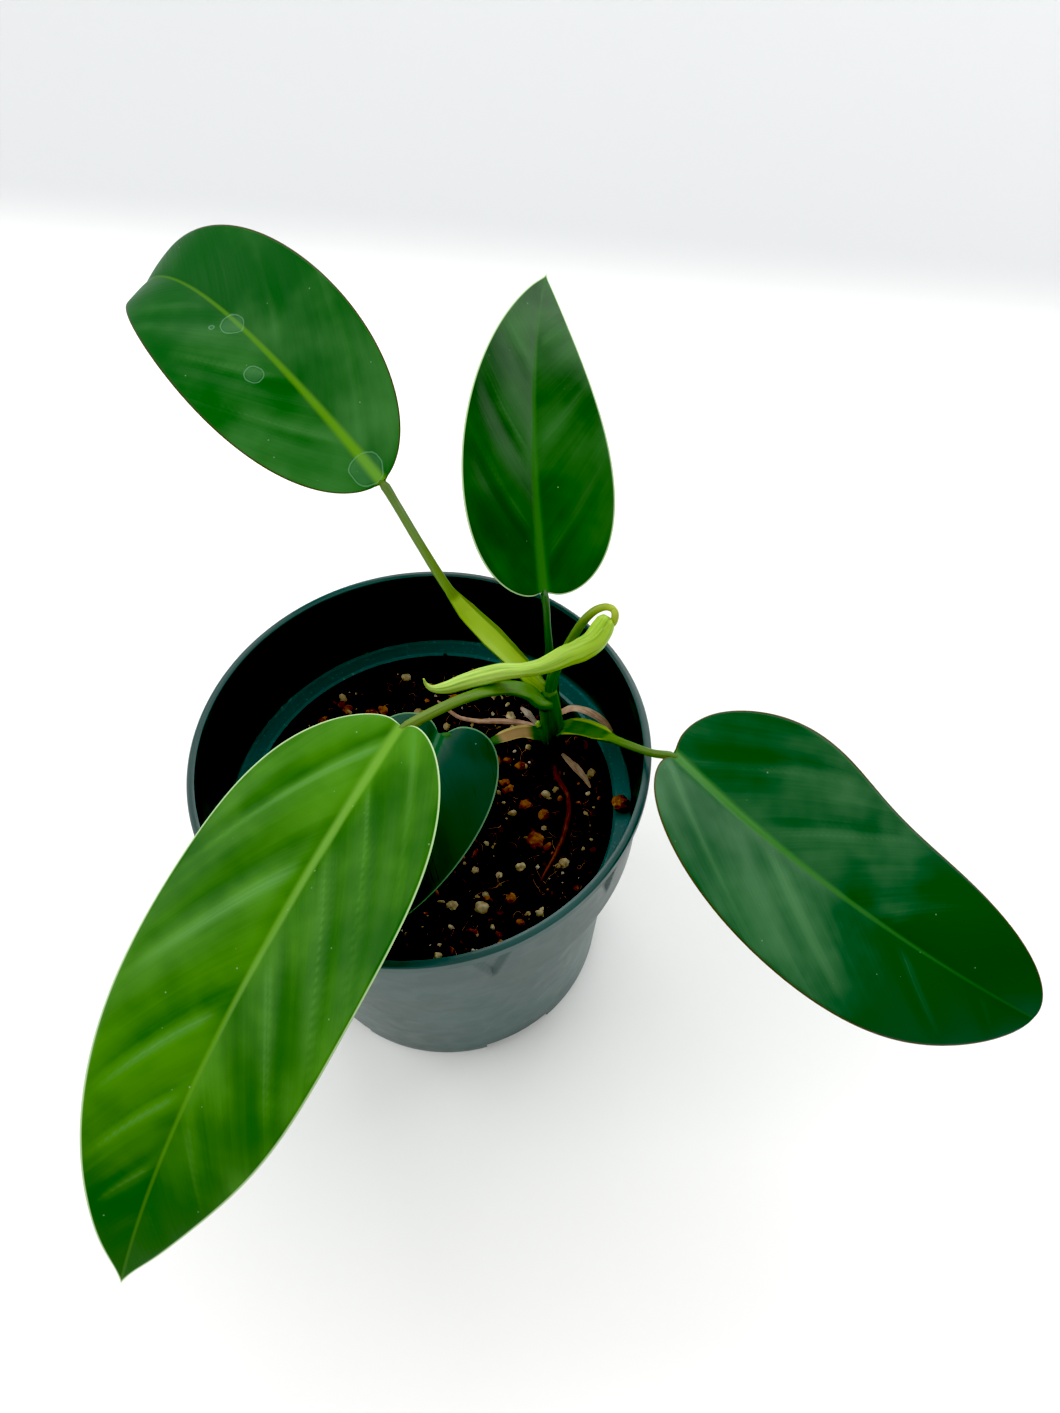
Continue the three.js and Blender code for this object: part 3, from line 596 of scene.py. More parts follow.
def blade_surface(leaf, looks, s, v, lift):
    """Points of a blade at s along it and v across it, lifted off its middle surface by lift.

    With them come how far out each point is, its side vein, and the painted light and shade of the pleats.
    """
    along = leaf_directions(leaf, s)
    yaw = np.radians(leaf["heading"] + leaf["sweep"] * s)
    level = np.stack([np.sin(yaw), -np.cos(yaw), np.zeros_like(yaw)], axis=-1)
    above = np.cross(level, along)
    roll = np.radians(leaf["roll"][0] + (leaf["roll"][1] - leaf["roll"][0]) * s)[:, None]
    side = level * np.cos(roll) + above * np.sin(roll)
    normal = above * np.cos(roll) - level * np.sin(roll)
    share = outline_share(leaf, s, looks["cusp"])[:, None]
    out = np.abs(v)[None, :]
    half = leaf["width"] / 2 * share
    waves = []
    for height, count, start in (leaf["left_wave"], leaf["right_wave"]):
        waves.append(height * np.sin(2 * np.pi * (count * s + start))[:, None] * out**1.6 * share)
    wave = np.where(v[None, :] < 0, *waves)
    fold = np.radians(leaf["fold"] * (1 - leaf["flatten"] * s**3))[:, None]
    reach = half * out
    vein = s[:, None] * leaf["length"] - VEIN_SLOPE * reach - VEIN_BEND * reach**2
    first_height, second_height, spacing, start, wander = looks["pleats"]
    crease = np.pi * (vein - start) / spacing + wander * np.sin(vein / 17 + np.sign(v))
    pleat_shape_and_painted_light = np.sqrt(np.sin(crease) ** 2 + 0.03) - 0.5
    pleat_shape_and_painted_light = pleat_shape_and_painted_light * np.where(v < 0, first_height, second_height) * out**0.6 * (1 - out**3) * share
    lifted = reach * np.sin(fold) - leaf["curl"] * reach * out + wave + pleat_shape_and_painted_light + lift
    across = half * v[None, :] * np.cos(fold)
    shoulder = reach**2 / (reach**2 + SINUS_REACH**2)
    back = -leaf["lobe"] * shoulder * v[None, :] ** 2 * ((1 - s) ** 5)[:, None]
    points = spine_points(leaf, s)[:, None] + side[:, None] * across[..., None]
    points = points + normal[:, None] * lifted[..., None] + along[:, None] * back[..., None]
    # Painted light and shade: a painted highlight on each crease's tip side and painted shade in the
    # crease, which the blade's colour takes up.
    painted_pleat_highlight = 0.9 * np.exp(-((np.sin(crease - 0.6) / 0.3) ** 2))
    painted_crease_shade = np.exp(-((np.sin(crease) / 0.33) ** 2))
    shade = (painted_pleat_highlight - painted_crease_shade) * smooth_steps(5 * out) * (1 - out**4)
    shade = shade * np.where(v < 0, first_height, second_height) * (1 - s[:, None] ** 6)
    return points, reach, vein, shade


def leaf_blade(key, material, slot):
    """A thin closed blade, with a shallow groove along the midrib above, and a ridge below it."""
    leaf, looks = LEAVES[key], BLADE_LOOKS[key]
    even = np.arange(BLADE_ROWS + 1) / BLADE_ROWS
    s = np.clip((1 - np.cos(np.pi * even)) / 2, 0.00003, 0.9999)
    turned = np.linspace(-1, 1, BLADE_COLUMNS)
    v = np.sign(turned) * np.abs(turned) ** 1.25
    half = leaf["width"] / 2 * outline_share(leaf, s, looks["cusp"])[:, None]
    reach = half * np.abs(v)[None, :]
    thin = BLADE_THICKNESS / 2 * (1 - 0.6 * np.abs(v)[None, :] ** 10)
    rib = rib_half_width(s)[:, None]
    dip = np.exp(-((reach / (rib + 0.9)) ** 2))
    ridge = np.exp(-((reach / (0.6 * rib)) ** 2))
    groove = 0.3 * rib * (dip - ridge)
    below = 1.1 * rib * np.exp(-((reach / rib) ** 2))
    upper, reach, vein, shade = blade_surface(leaf, looks, s, v, thin - groove)
    lower, _, _, _ = blade_surface(leaf, looks, s, v, -thin - below)
    grid = np.concatenate([upper, lower[:, ::-1]], axis=1)
    rings, sides = grid.shape[:2]

    def both(values):
        values = np.broadcast_to(values, reach.shape)
        return np.concatenate([values, values[:, ::-1]], axis=1).ravel()

    under = np.concatenate([np.zeros_like(reach), np.ones_like(reach)], axis=1)
    attributes = {
        "along": both(s[:, None]),
        "distance": both(s[:, None] * leaf["length"]),
        "sideways": both(reach * np.sign(v)[None, :]),
        "reach": both(reach),
        "rim": both(half * (1 - np.abs(v)[None, :])),
        "vein": both(vein),
        # The pleats' painted light and shade, for the colour.
        "pleat_shape_and_painted_light": both(shade),
        "under": under.ravel(),
    }
    add_piece(f"{key}_leaf_blade_fine", grid.reshape(-1, 3), ring_faces(rings, sides), material,
              slot=slot, replaces=[f"{key}_leaf_blade"], attributes=attributes)


def make_leaves():
    """The five open blades. A look's colours are its deep, bright, rib, margin and underside."""
    pale_margin, red_margin = (0.42, 0.58, 0.3), (0.07, 0.05, 0.015)
    drops = [(58.6, -1.2, 3.0), (42.9, -6.6, 2.4), (61.6, -5.5, 0.6), (4.9, -0.9, 4.2)]
    leaf_blade("front", leaf_look(
        "light_leaf", (0.01, 0.085, 0.002), (0.066, 0.215, 0.014), (0.13, 0.3, 0.03),
        pale_margin, (0.06, 0.16, 0.02), gloss=0.4, shine=0.18,
        lean=0.1, fade=[0.7, -0.4]), "light_leaf")
    leaf_blade("left", leaf_look(
        "dark_leaf_left", (0.008, 0.081, 0.01), (0.049, 0.168, 0.041),
        (0.12, 0.29, 0.02), red_margin, (0.05, 0.14, 0.02), gloss=0.42, shine=0.1,
        lean=-0.06, fade=[0.3, -0.18], marks=drops), "dark_leaf")
    leaf_blade("back", leaf_look(
        "dark_leaf_back", (0.001, 0.04, 0.001), (0.028, 0.12, 0.022),
        (0.03, 0.14, 0.015), pale_margin, (0.04, 0.12, 0.015), gloss=0.34, shine=0.16,
        lean=0.14, fade=[0.6, -0.08]), "dark_leaf")
    leaf_blade("right", leaf_look(
        "dark_leaf_right", (0.006, 0.06, 0.016), (0.054, 0.152, 0.062),
        (0.05, 0.18, 0.03), red_margin, (0.04, 0.12, 0.02), gloss=0.36, shine=0.12,
        lean=0.04, fade=[0.4, -0.3]), "dark_leaf")
    leaf_blade("inner", leaf_look(
        "blue_leaf", (0.002, 0.048, 0.022), (0.003, 0.053, 0.027), (0.015, 0.11, 0.035),
        (0.15, 0.3, 0.15), (0.03, 0.1, 0.04), gloss=0.32, shine=0.18,
        lean=0.0, fade=[0.5, -0.1]), "blue_leaf")


# -------- stem, stalks, new leaf, bracts, roots


def ribbed(count, depth):
    """A section shape with soft lengthwise ribs."""
    def shape(along, angle):
        return 1 + depth * np.cos(count * angle) + 0.02 * np.sin(9 * along + 2 * angle)
    return shape


def knobbly(seed, depth):
    """A section shape that swells and shrinks along the strand."""
    def shape(along, angle):
        slow = np.sin(14 * along + seed) * 0.6 + np.sin(37 * along + 2 * seed + angle) * 0.4
        return 1 + depth * slow + 0.04 * np.sin(3 * angle + 5 * seed)
    return shape


def rolled(along, angle):
    """The section of a rolled blade: its outer edge makes one step that winds round it."""
    outer_edge = np.mod(angle + 4.5 * along - 2.6, 2 * np.pi) / (2 * np.pi)
    creases = 0.025 * np.sin(11 * angle + 6 * along) + 0.04 * np.sin(3 * angle + 13 * along)
    return 1.06 - 0.26 * outer_edge**2.5 + creases * smooth_steps(2.5 * along - 0.4)


def onto_midrib(key):
    """Two stations that carry a leaf's stalk on into the midrib, just under the blade's face."""
    depth, sizes = 0.6, (0.7, 0.3)
    points = spine_points(LEAVES[key], np.array([0.008, 0.02]))
    points[:, 2] -= depth
    return [[*point, size, size, size] for point, size in zip(points, sizes)]


def make_stem_and_stalks():
    """The short main stem and the stalks of the five open leaves."""
    green = stalk_look("stem_green", (0.02, 0.09, 0.006), (0.075, 0.2, 0.012), (0.015, 0.06, 0.005))
    strand("main_stem", STEM, green, "stem_green", lift=(0, 1, 0), shape=ribbed(5, 0.035))
    looks = {
        "front": {"root": (0.06, 0.18, 0.008), "tip": (0.11, 0.18, 0.02), "lines_and_painted_shade": (0.06, 0.1, 0.01)},
        "left": {"root": (0.2, 0.34, 0.015), "tip": (0.06, 0.12, 0.008), "lines_and_painted_shade": (0.06, 0.13, 0.01),
                 "inside": (0.29, 0.44, 0.03), "rim": (0.1, 0.22, 0.015)},
        "back": {"root": (0.015, 0.07, 0.006), "tip": (0.015, 0.08, 0.006),
                 "lines_and_painted_shade": (0.008, 0.045, 0.003)},
        # The right stalk's open channel is drawn dark green inside: painted shade.
        "right": {"root": (0.1, 0.23, 0.012), "tip": (0.07, 0.14, 0.012), "lines_and_painted_shade": (0.05, 0.1, 0.01),
                  "inside": (0.03, 0.1, 0.006), "rim": (0.3, 0.44, 0.05)},
        "inner": {"root": (0.03, 0.11, 0.01), "tip": (0.03, 0.14, 0.02), "lines_and_painted_shade": (0.015, 0.06, 0.008),
                  "inside": (0.3, 0.19, 0.07), "rim": (0.65, 0.52, 0.2)},
    }
    for key, colours in looks.items():
        look = stalk_look(f"stalk_{key}", glow=0.1, **colours)
        lift, slot = ((0, -0.6, 1), "stem_green") if key == "back" else (UP, "stalk_green")
        strand(f"{key}_leaf_stalk", STALKS[key] + onto_midrib(key), look, slot, lift=lift,
               shape=ribbed(7, 0.02))


def make_new_leaf():
    """The rolled blade and its looped stalk, and the small bud beside them on the stem."""
    stalk = stalk_look(
        "new_stalk", (0.03, 0.12, 0.008), (0.32, 0.4, 0.04), (0.12, 0.2, 0.015), glow=0.15)
    blade = stalk_look(
        "new_blade", (0.3, 0.47, 0.04), (0.35, 0.51, 0.1), (0.11, 0.24, 0.02), glow=0.15)
    into_blade = [[45.2, 16, 118, 0.9, 0.9, 0.9], [43.6, 15.6, 117, 0.6, 0.6, 0.6]]
    strand("new_leaf_stalk", NEW_STALK + into_blade, stalk, "new_growth", lift=(0.6, -0.8, 0),
           shape=ribbed(4, 0.03))
    strand("new_leaf_blade", NEW_BLADE, blade, "new_growth", sides=96, steps=20, shape=rolled)
    low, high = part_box("side_bud")
    centre = (low + high) / 2 / MM
    half_height = (high.z - low.z) / 2 / MM
    bud = []
    for up, width in ((-1, 0.35), (-0.5, 0.75), (0.1, 0.85), (0.7, 0.5), (1, 0.12)):
        bud.append([centre.x, centre.y, centre.z + half_height * up, width, width, width])
    strand("side_bud", bud, blade, "new_growth", lift=(0, 1, 0), sides=16, steps=6)


def make_bracts_and_roots():
    dry = {
        "bract_right": fibre_look("dry_bract_pink", (0.62, 0.44, 0.3), (0.32, 0.19, 0.11)),
        "bract_front": fibre_look("dry_bract_tan", (0.52, 0.38, 0.24), (0.26, 0.16, 0.1)),
        "bract_left": fibre_look("dry_bract_grey", (0.42, 0.36, 0.28), (0.2, 0.16, 0.11)),
    }
    for seed, (node, stations) in enumerate(BRACTS.items()):
        strand(node, stations, dry[node], "dry_bract", shape=knobbly(seed, 0.08))
    pink = fibre_look("aerial_root", (0.6, 0.4, 0.27), (0.3, 0.16, 0.1))
    red = fibre_look("surface_root", (0.2, 0.07, 0.035), (0.06, 0.015, 0.01))
    deep = fibre_look("deep_roots", (0.45, 0.33, 0.2), (0.2, 0.12, 0.07))
    strand("aerial_root", AERIAL_ROOT, pink, "root", sides=14, shape=knobbly(2, 0.12))
    strand("surface_root", SURFACE_ROOT, red, "root", sides=14, shape=knobbly(5, 0.16))
    root_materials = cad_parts["root_system"].data.materials
    root_materials.clear()
    root_materials.append(deep)


# -------- pot


def straight(start, end, steps):
    """Points from start to end, in that many equal steps."""
    return [tuple(np.add(start, np.subtract(end, start) * t)) for t in np.linspace(0, 1, steps + 1)]


def around_axis(radius, angles, z):
    """Points at those angles around the pot's axis."""
    x, y = radius * np.cos(angles), radius * np.sin(angles)
    return np.stack([x, y, np.broadcast_to(z, x.shape)], axis=-1)


def lathe_profile():
    """The pot's section, from its floor's middle out, up, over the lip and back down inside."""
    lip_bottom = POT_HEIGHT - LIP_HEIGHT
    lip_inside = RIM_RADIUS - LIP_THICKNESS
    step_bottom = LEDGE_HEIGHT - WALL
    foot, edge = 1.0, 0.45
    profile = [(0, 0), (12, 0), (26, 0), (37, 0), (FOOT_RADIUS - foot, 0), (FOOT_RADIUS - 0.2, 0.3)]
    profile += straight((FOOT_RADIUS, foot), (BODY_RADIUS, step_bottom - 0.8), 24)
    profile += [(BODY_RADIUS + 0.5, step_bottom - 0.1), (COLLAR_RADIUS - 0.6, step_bottom)]
    profile += straight((COLLAR_RADIUS, LEDGE_HEIGHT - 0.5), (COLLAR_TOP_RADIUS, lip_bottom), 48)
    profile += [(RIM_RADIUS - edge, lip_bottom), (RIM_RADIUS, lip_bottom + edge)]
    profile += [(RIM_RADIUS, POT_HEIGHT - edge), (RIM_RADIUS - 0.3, POT_HEIGHT - 0.1)]
    profile += [(RIM_RADIUS - 0.8, POT_HEIGHT), (lip_inside + 0.7, POT_HEIGHT)]
    profile += [(lip_inside + 0.2, POT_HEIGHT - 0.2), (lip_inside, POT_HEIGHT - 0.8)]
    collar_inside, body_inside = COLLAR_RADIUS - WALL, BODY_RADIUS - WALL
    profile += straight((COLLAR_TOP_RADIUS - WALL, lip_bottom), (collar_inside, LEDGE_HEIGHT + 0.7), 10)
    profile += [(collar_inside - 0.5, LEDGE_HEIGHT), (body_inside + 0.6, LEDGE_HEIGHT)]
    profile += straight((body_inside, LEDGE_HEIGHT - 0.6), (FOOT_RADIUS - WALL, WALL + 1), 10)
    profile += [(FOOT_RADIUS - WALL - 1, WALL), (20, WALL), (0, WALL)]
    return np.array(profile, float)


def dent_depth(angle, z):
    """How far the collar is pressed in at a place on it: shallow triangles that point down."""
    pitch = 360 / STACKING_DENTS
    off_middle = np.abs(np.mod(np.degrees(angle) - FIRST_DENT + pitch / 2, pitch) - pitch / 2)
    fallen = (DENT_TOP - z) / DENT_LENGTH
    inside = DENT_HALF_ANGLE * (1 - fallen) - off_middle
    return DENT_DEPTH * smooth_steps(inside / 1.5) * (fallen > -0.01)


def drain_slot_cutter(middle):
    """A wedge of the pot's foot, to cut away: middle is the angle it is centred on, in degrees."""
    half_angle = DRAIN_SLOT_ANGLE / 2
    angles = np.radians(np.linspace(middle - half_angle, middle + half_angle, 13))
    inside, outside, under = FOOT_RADIUS - DRAIN_SLOT_DEPTH, FOOT_RADIUS + 2, -1
    corners = [(inside, under), (outside, under)]
    corners += [(outside, DRAIN_SLOT_HEIGHT), (inside, DRAIN_SLOT_HEIGHT)]
    points = [(r * math.cos(a), r * math.sin(a), z) for a in angles for r, z in corners]
    return put_in_scene("cutter", closed_mesh("cutter", points, ring_faces(len(angles), len(corners))))


def make_pot():
    """The pot, turned from its profile, with its dents pressed in and its drain slots cut out."""
    profile = lathe_profile()
    angles = 2 * np.pi * np.arange(POT_SEGMENTS) / POT_SEGMENTS
    inner = profile[1:-1]
    radius = np.repeat(inner[:, :1], POT_SEGMENTS, axis=1)
    z = np.repeat(inner[:, 1:], POT_SEGMENTS, axis=1)
    on_collar = (radius >= COLLAR_RADIUS - 0.01) & (radius <= COLLAR_TOP_RADIUS + 0.01)
    on_collar = on_collar & (z <= POT_HEIGHT - LIP_HEIGHT)
    radius = radius - np.where(on_collar, dent_depth(angles[None, :], z), 0)
    grid = around_axis(radius, angles, z).reshape(-1, 3)
    rings = len(inner)
    faces = ring_faces(rings, POT_SEGMENTS)[:-2]
    bottom, top = len(grid), len(grid) + 1
    points = np.vstack([grid, [0, 0, profile[0, 1]], [0, 0, profile[-1, 1]]])
    last = (rings - 1) * POT_SEGMENTS
    for k in range(POT_SEGMENTS):
        after = (k + 1) % POT_SEGMENTS
        faces.append((bottom, after, k))
        faces.append((top, last + k, last + after))
    # The ledge's points, where the pot's look paints light on the ledge's upper face.
    near_ledge = np.abs(points[:, 2] - LEDGE_HEIGHT) < 0.8
    on_ledge = near_ledge & (np.hypot(*points[:, :2].T) < COLLAR_RADIUS - WALL + 0.1)
    pot = add_piece("nursery_pot_fine", points, faces, pot_look(), slot="pot_plastic",
                    replaces=["nursery_pot"], attributes={"ledge": on_ledge})
    pitch = 360 / DRAIN_SLOTS
    cutters = [drain_slot_cutter(FIRST_DRAIN_SLOT + k * pitch) for k in range(DRAIN_SLOTS)]
    for cutter in cutters:
        cut = pot.modifiers.new("slot", "BOOLEAN")
        cut.operation = "DIFFERENCE"
        cut.solver = "EXACT"
        cut.object = cutter
    apply_modifiers(pot)
    for cutter in cutters:
        bpy.data.objects.remove(cutter)
    smooth_by_angle(pot, 32)


def apply_modifiers(piece):
    shaped = piece.evaluated_get(bpy.context.evaluated_depsgraph_get())
    made = bpy.data.meshes.new_from_object(shaped)
    piece.modifiers.clear()
    piece.data = made


def smooth_by_angle(piece, degrees):
    """Smooth shading, with edges sharper than that angle kept crisp."""
    mesh = piece.data
    shape = bmesh.new()
    shape.from_mesh(mesh)
    for edge in shape.edges:
        edge.smooth = len(edge.link_faces) == 2 and edge.calc_face_angle(0) < math.radians(degrees)
    for face in shape.faces:
        face.smooth = True
    shape.to_mesh(mesh)
    shape.free()


# -------- potting mix


def soil_height(x, y):
    """The height of the mix at a place, without its fine unevenness."""
    waves = 0.7 * np.sin(0.16 * x + 1) * np.cos(0.13 * y) + 0.4 * np.sin(0.37 * x - 0.29 * y)
    return SOIL_HEIGHT + waves


def crumbled(x, y):
    """The fine unevenness of the mix at a place, in millimetres."""
    coarse = noise.fractal(Vector((x * 0.22, y * 0.22, 1.7)), 0.9, 2.1, 4)
    fine = noise.noise(Vector((x * 1.1, y * 1.1, 8.3)))
    return 1.1 * coarse + 0.35 * fine


def make_soil(material):
    """The mix as one closed piece: its uneven top, and a plain side down to the pot's floor."""
    rings, sides = 110, 260
    radii = SOIL_RADIUS * (np.arange(1, rings + 1) / rings) ** 0.8
    angles = 2 * np.pi * np.arange(sides) / sides
    x, y = radii[:, None] * np.cos(angles), radii[:, None] * np.sin(angles)
    z = soil_height(x, y)
    z += np.array([[crumbled(a, b) for a, b in zip(*row)] for row in zip(x, y)])
    z = np.minimum(z, SOIL_HEIGHT + 2.4)
    top = np.stack([x, y, z], axis=-1)
    below = [(SOIL_RADIUS, SOIL_HEIGHT - 4), (43.2, 30), (FOOT_RADIUS - WALL - 0.5, WALL + 0.4)]
    lower = [around_axis(radius, angles, height)[None] for radius, height in below]
    grid = np.concatenate([top, *lower]).reshape(-1, 3)
    faces = ring_faces(rings + len(lower), sides)
    add_piece("potting_mix_fine", grid, faces, material, slot="potting_mix", replaces=["potting_mix"])


def lump(rng, detail):
    """A rounded, uneven closed lump about one unit in radius: its points and faces."""
    shape = bmesh.new()
    bmesh.ops.create_icosphere(shape, subdivisions=detail, radius=1)
    points = np.array([v.co for v in shape.verts])
    faces = [tuple(v.index for v in f.verts) for f in shape.faces]
    shape.free()
    shift = rng.uniform(-50, 50, 3)
    rough = np.array([noise.noise(Vector(p * 1.3 + shift)) for p in points])
    sharp = np.array([noise.cell(Vector(p * 1.6 + shift)) for p in points])
    return points * (1 + 0.35 * rough + 0.12 * sharp)[:, None], faces


def turned(rng, points):
    """points turned any way about their middle."""
    axis = unit(rng.normal(size=3))
    angle = rng.uniform(0, 2 * math.pi)
    return points @ np.array(Matrix.Rotation(angle, 3, Vector(axis))).T


def clear_of_plant(x, y):
    """Whether a place on the mix is off the stem and off the pot's wall."""
    off_stem = math.hypot(x - STEM[1][0], y - STEM[1][1]) > 4.5
    return off_stem and math.hypot(x, y) < SOIL_RADIUS - 0.8


def joined(parts):
    """One list of points and one of faces, from many pairs of them."""
    faces, first = [], 0
    for points, some_faces in parts:
        faces += [tuple(i + first for i in face) for face in some_faces]
        first += len(points)
    return np.vstack([points for points, _ in parts]), faces


def random_place(rng):
    """A place on the mix, any part of it as likely as another."""
    radius = SOIL_RADIUS * math.sqrt(rng.uniform(0, 1))
    angle = rng.uniform(0, 2 * math.pi)
    return radius * math.cos(angle), radius * math.sin(angle)


def scatter(name, material, count, sizes, flat, seed, detail=1, sunk=0.25, slot="potting_mix"):
    """Many loose lumps lying on the mix, as one piece.

    sizes is their smallest and biggest radius, flat the range of their heights as a share of it,
    and sunk how deep they lie.
    """
    rng = np.random.default_rng(seed)
    kinds = [lump(rng, detail) for _ in range(9)]
    bits = []
    while len(bits) < count:
        x, y = random_place(rng)
        size = sizes[0] + (sizes[1] - sizes[0]) * rng.uniform(0, 1) ** 2.5
        shape, faces = kinds[rng.integers(len(kinds))]
        stretch = np.array([1, rng.uniform(0.5, 0.95), rng.uniform(*flat)])
        if not clear_of_plant(x, y):
            continue
        points = turned(rng, shape * stretch) * size
        z = soil_height(x, y) + crumbled(x, y) + size * (0.5 - sunk)
        bits.append((points + [x, y, z], faces))
    add_piece(name, *joined(bits), material, slot=slot, smooth=False)


def fibre_points(rng, x, y, heading, turn, length, thickness, steps, sides):
    """A thin arched strand from a place on the mix: its points, and the place where it ends."""
    points = []
    for step in range(steps):
        t = step / (steps - 1)
        arch = 0.9 * math.sin(math.pi * t) * rng.uniform(0.7, 1.1)
        middle = np.array([x, y, soil_height(x, y) + crumbled(x, y) + 0.3 + arch])
        forward = np.array([math.cos(heading), math.sin(heading), 0])
        side = np.array([-forward[1], forward[0], 0])
        girth = thickness * (1 - 0.6 * t)
        for k in range(sides):
            angle = 2 * math.pi * k / sides
            points.append(middle + (side * math.cos(angle) + UP * math.sin(angle)) * girth)
        x += forward[0] * length / steps
        y += forward[1] * length / steps
        heading += turn
    return np.array(points), x, y


def scatter_fibres(name, material, count, seed):
    """Thin bent fibres and hair roots lying over the mix, as one piece."""
    rng = np.random.default_rng(seed)
    steps, sides = 9, 5
    faces = ring_faces(steps, sides)
    fibres = []
    while len(fibres) < count:
        x, y = random_place(rng)
        heading, turn = rng.uniform(0, 2 * math.pi), rng.normal(0, 0.35)
        length, thickness = rng.uniform(1.5, 7), rng.uniform(0.06, 0.2)
        if not clear_of_plant(x, y):
            continue
        points, end_x, end_y = fibre_points(rng, x, y, heading, turn, length, thickness, steps, sides)
        if math.hypot(end_x, end_y) <= SOIL_RADIUS:
            fibres.append((points, faces))
    along = np.repeat(np.linspace(0, 1, steps), sides)
    around = np.tile(np.arange(sides) / sides, steps)
    add_piece(name, *joined(fibres), material, slot="potting_mix",
              attributes={"along": np.tile(along, count), "around": np.tile(around, count)})


def fine_lumps(nodes, material, slot, seed):
    """Each big loose lump of the CAD, remade finely in its own box."""
    rng = np.random.default_rng(seed)
    for node in nodes:
        low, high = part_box(node)
        centre = np.array((low + high) / 2) / MM
        half = np.array(high - low) / 2 / MM
        points, faces = lump(rng, 4)
        points = points / np.abs(points).max(axis=0) * half + centre
        add_piece(f"{node}_fine", points, faces, material, slot=slot, replaces=[node])


def make_potting_mix():
    """The mix itself, the bits and fibres strewn over it, and its biggest chips and grains."""
    earth = crumb_look(
        "potting_mix", (0.005, 0.003, 0.002), (0.026, 0.012, 0.007), (0.08, 0.035, 0.015), 700)
    bark = crumb_look(
        "bark", (0.16, 0.055, 0.012), (0.36, 0.16, 0.04), (0.55, 0.3, 0.1), 420, bump_mm=0.15)
    brown = crumb_look(
        "brown_bark", (0.04, 0.014, 0.006), (0.1, 0.035, 0.012), (0.2, 0.08, 0.03), 500)
    pale = crumb_look(
        "pale_grain", (0.4, 0.3, 0.14), (0.62, 0.52, 0.3), (0.8, 0.74, 0.55), 380, bump_mm=0.15)
    white = crumb_look(
        "perlite", (0.5, 0.45, 0.32), (0.72, 0.67, 0.52), (0.86, 0.83, 0.72), 600, bump_mm=0.15)
    fibre = fibre_look("fibres", (0.4, 0.27, 0.17), (0.12, 0.06, 0.035))
    make_soil(earth)
    scatter("dark_crumbs", earth, 2600, (0.35, 1.5), (0.5, 0.9), seed=11)
    scatter("brown_crumbs", brown, 520, (0.3, 1.6), (0.4, 0.8), seed=12)
    scatter("bark_bits", bark, 220, (0.4, 1.9), (0.35, 0.7), seed=13, detail=2, sunk=0.1,
            slot="bark")
    scatter("pale_bits", pale, 190, (0.35, 1.5), (0.5, 0.9), seed=14, detail=2, sunk=0.1,
            slot="perlite")
    scatter("white_bits", white, 80, (0.25, 0.8), (0.6, 0.95), seed=15, detail=2, sunk=0.05,
            slot="perlite")
    scatter_fibres("fibres", fibre, 360, seed=16)
    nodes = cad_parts
    fine_lumps(sorted(n for n in nodes if n.startswith("bark_chip")), bark, "bark", 21)
    fine_lumps(sorted(n for n in nodes if n.startswith("perlite_grain")), pale, "perlite", 22)


# -------- studio


def make_floor():
    """A pale sheet that lies flat and curves up far behind the object."""
    half_width, back, radius, top = 2500, 900, 600, 2200
    profile = [(-half_width, 0), (back, 0)]
    for a in np.linspace(0, math.pi / 2, 17)[1:]:
        profile.append((back + radius * math.sin(a), radius * (1 - math.cos(a))))
    profile += [(back + radius, top)]
    mesh = bpy.data.meshes.new("studio_floor")
    points = [(x * MM, y * MM, z * MM) for y, z in profile for x in (-half_width, half_width)]
    faces = [(2 * k, 2 * k + 1, 2 * k + 3, 2 * k + 2) for k in range(len(profile) - 1)]
    mesh.from_pydata(points, [], faces)
    mesh.shade_smooth()
    mesh.materials.append(floor_look())
    floor = put_in_scene("studio_floor", mesh)


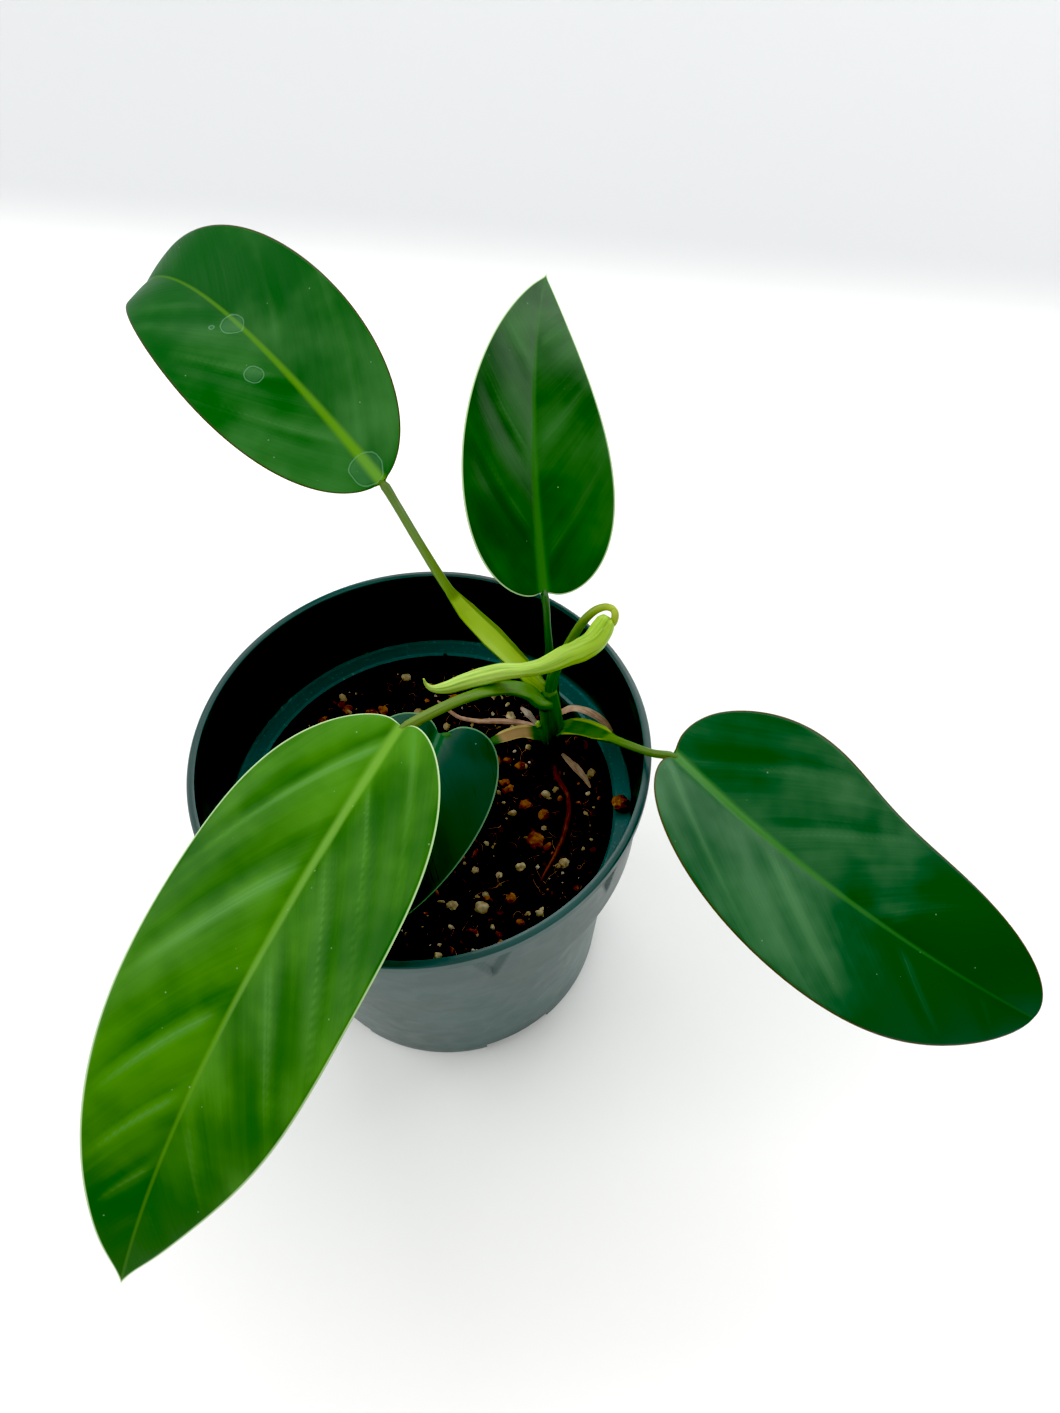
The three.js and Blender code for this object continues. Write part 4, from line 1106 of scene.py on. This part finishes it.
def softbox(name, place, aim, width, depth, watts):
    """A rectangular light at a place in metres, turned towards aim."""
    light = bpy.data.lights.new(name, "AREA")
    light.shape = "RECTANGLE"
    light.size, light.size_y = width, depth
    light.energy = watts
    box = put_in_scene(name, light)
    box.location = place
    box.rotation_euler = (Vector(aim) - Vector(place)).to_track_quat("-Z", "Y").to_euler()


def make_lights():
    """Two broad softboxes behind, a weaker one at the left, and dimmer even light from all round."""
    middle = (0, 0, POT_HEIGHT * MM)
    softbox("back_softbox", (0.1, 1.5, 1.05), middle, 1.8, 1.4, 26)
    softbox("right_softbox", (1.4, 1.1, 0.8), middle, 1.4, 1.2, 12)
    softbox("left_softbox", (-1.5, 0.2, 1.3), middle, 1.8, 1.2, 12)
    world = bpy.data.worlds.new("studio")
    world.use_nodes = True
    background = world.node_tree.nodes["Background"].inputs
    background["Color"].default_value = (1, 1, 1, 1)
    background["Strength"].default_value = 0.7
    bpy.context.scene.world = world


def make_camera():
    """The view: from the front, well above, a quarter of a metre off, and tilted a little."""
    elevation, roll = math.radians(55.8), math.radians(-2.5)
    aim = np.array([26.0, 9.3, POT_HEIGHT + 0.2])
    distance = 250.6
    forward = np.array([0, math.cos(elevation), -math.sin(elevation)])
    level, above = np.array([1.0, 0, 0]), np.array([0, math.sin(elevation), math.cos(elevation)])
    right = level * math.cos(roll) + above * math.sin(roll)
    up = above * math.cos(roll) - level * math.sin(roll)
    data = bpy.data.cameras.new("camera")
    data.lens, data.sensor_width = 27, 36
    data.clip_start, data.clip_end = 0.01, 20
    camera = put_in_scene("camera", data)
    turn = Matrix([right, up, -forward]).transposed().to_4x4()
    camera.matrix_world = Matrix.Translation(Vector((aim - forward * distance) * MM)) @ turn
    bpy.context.scene.camera = camera


def set_tone():
    """A bright picture with deep blacks: the darkest fortieth of its range is drawn as black."""
    settings = bpy.context.scene.view_settings
    settings.view_transform = "Standard"
    settings.exposure = 0.35
    settings.use_curve_mapping = True
    settings.curve_mapping.black_level = (0.024, 0.024, 0.024)
    settings.curve_mapping.update()


make_camera()
make_lights()
make_floor()
set_tone()
make_pot()
make_potting_mix()
make_stem_and_stalks()
make_leaves()
make_new_leaf()
make_bracts_and_roots()
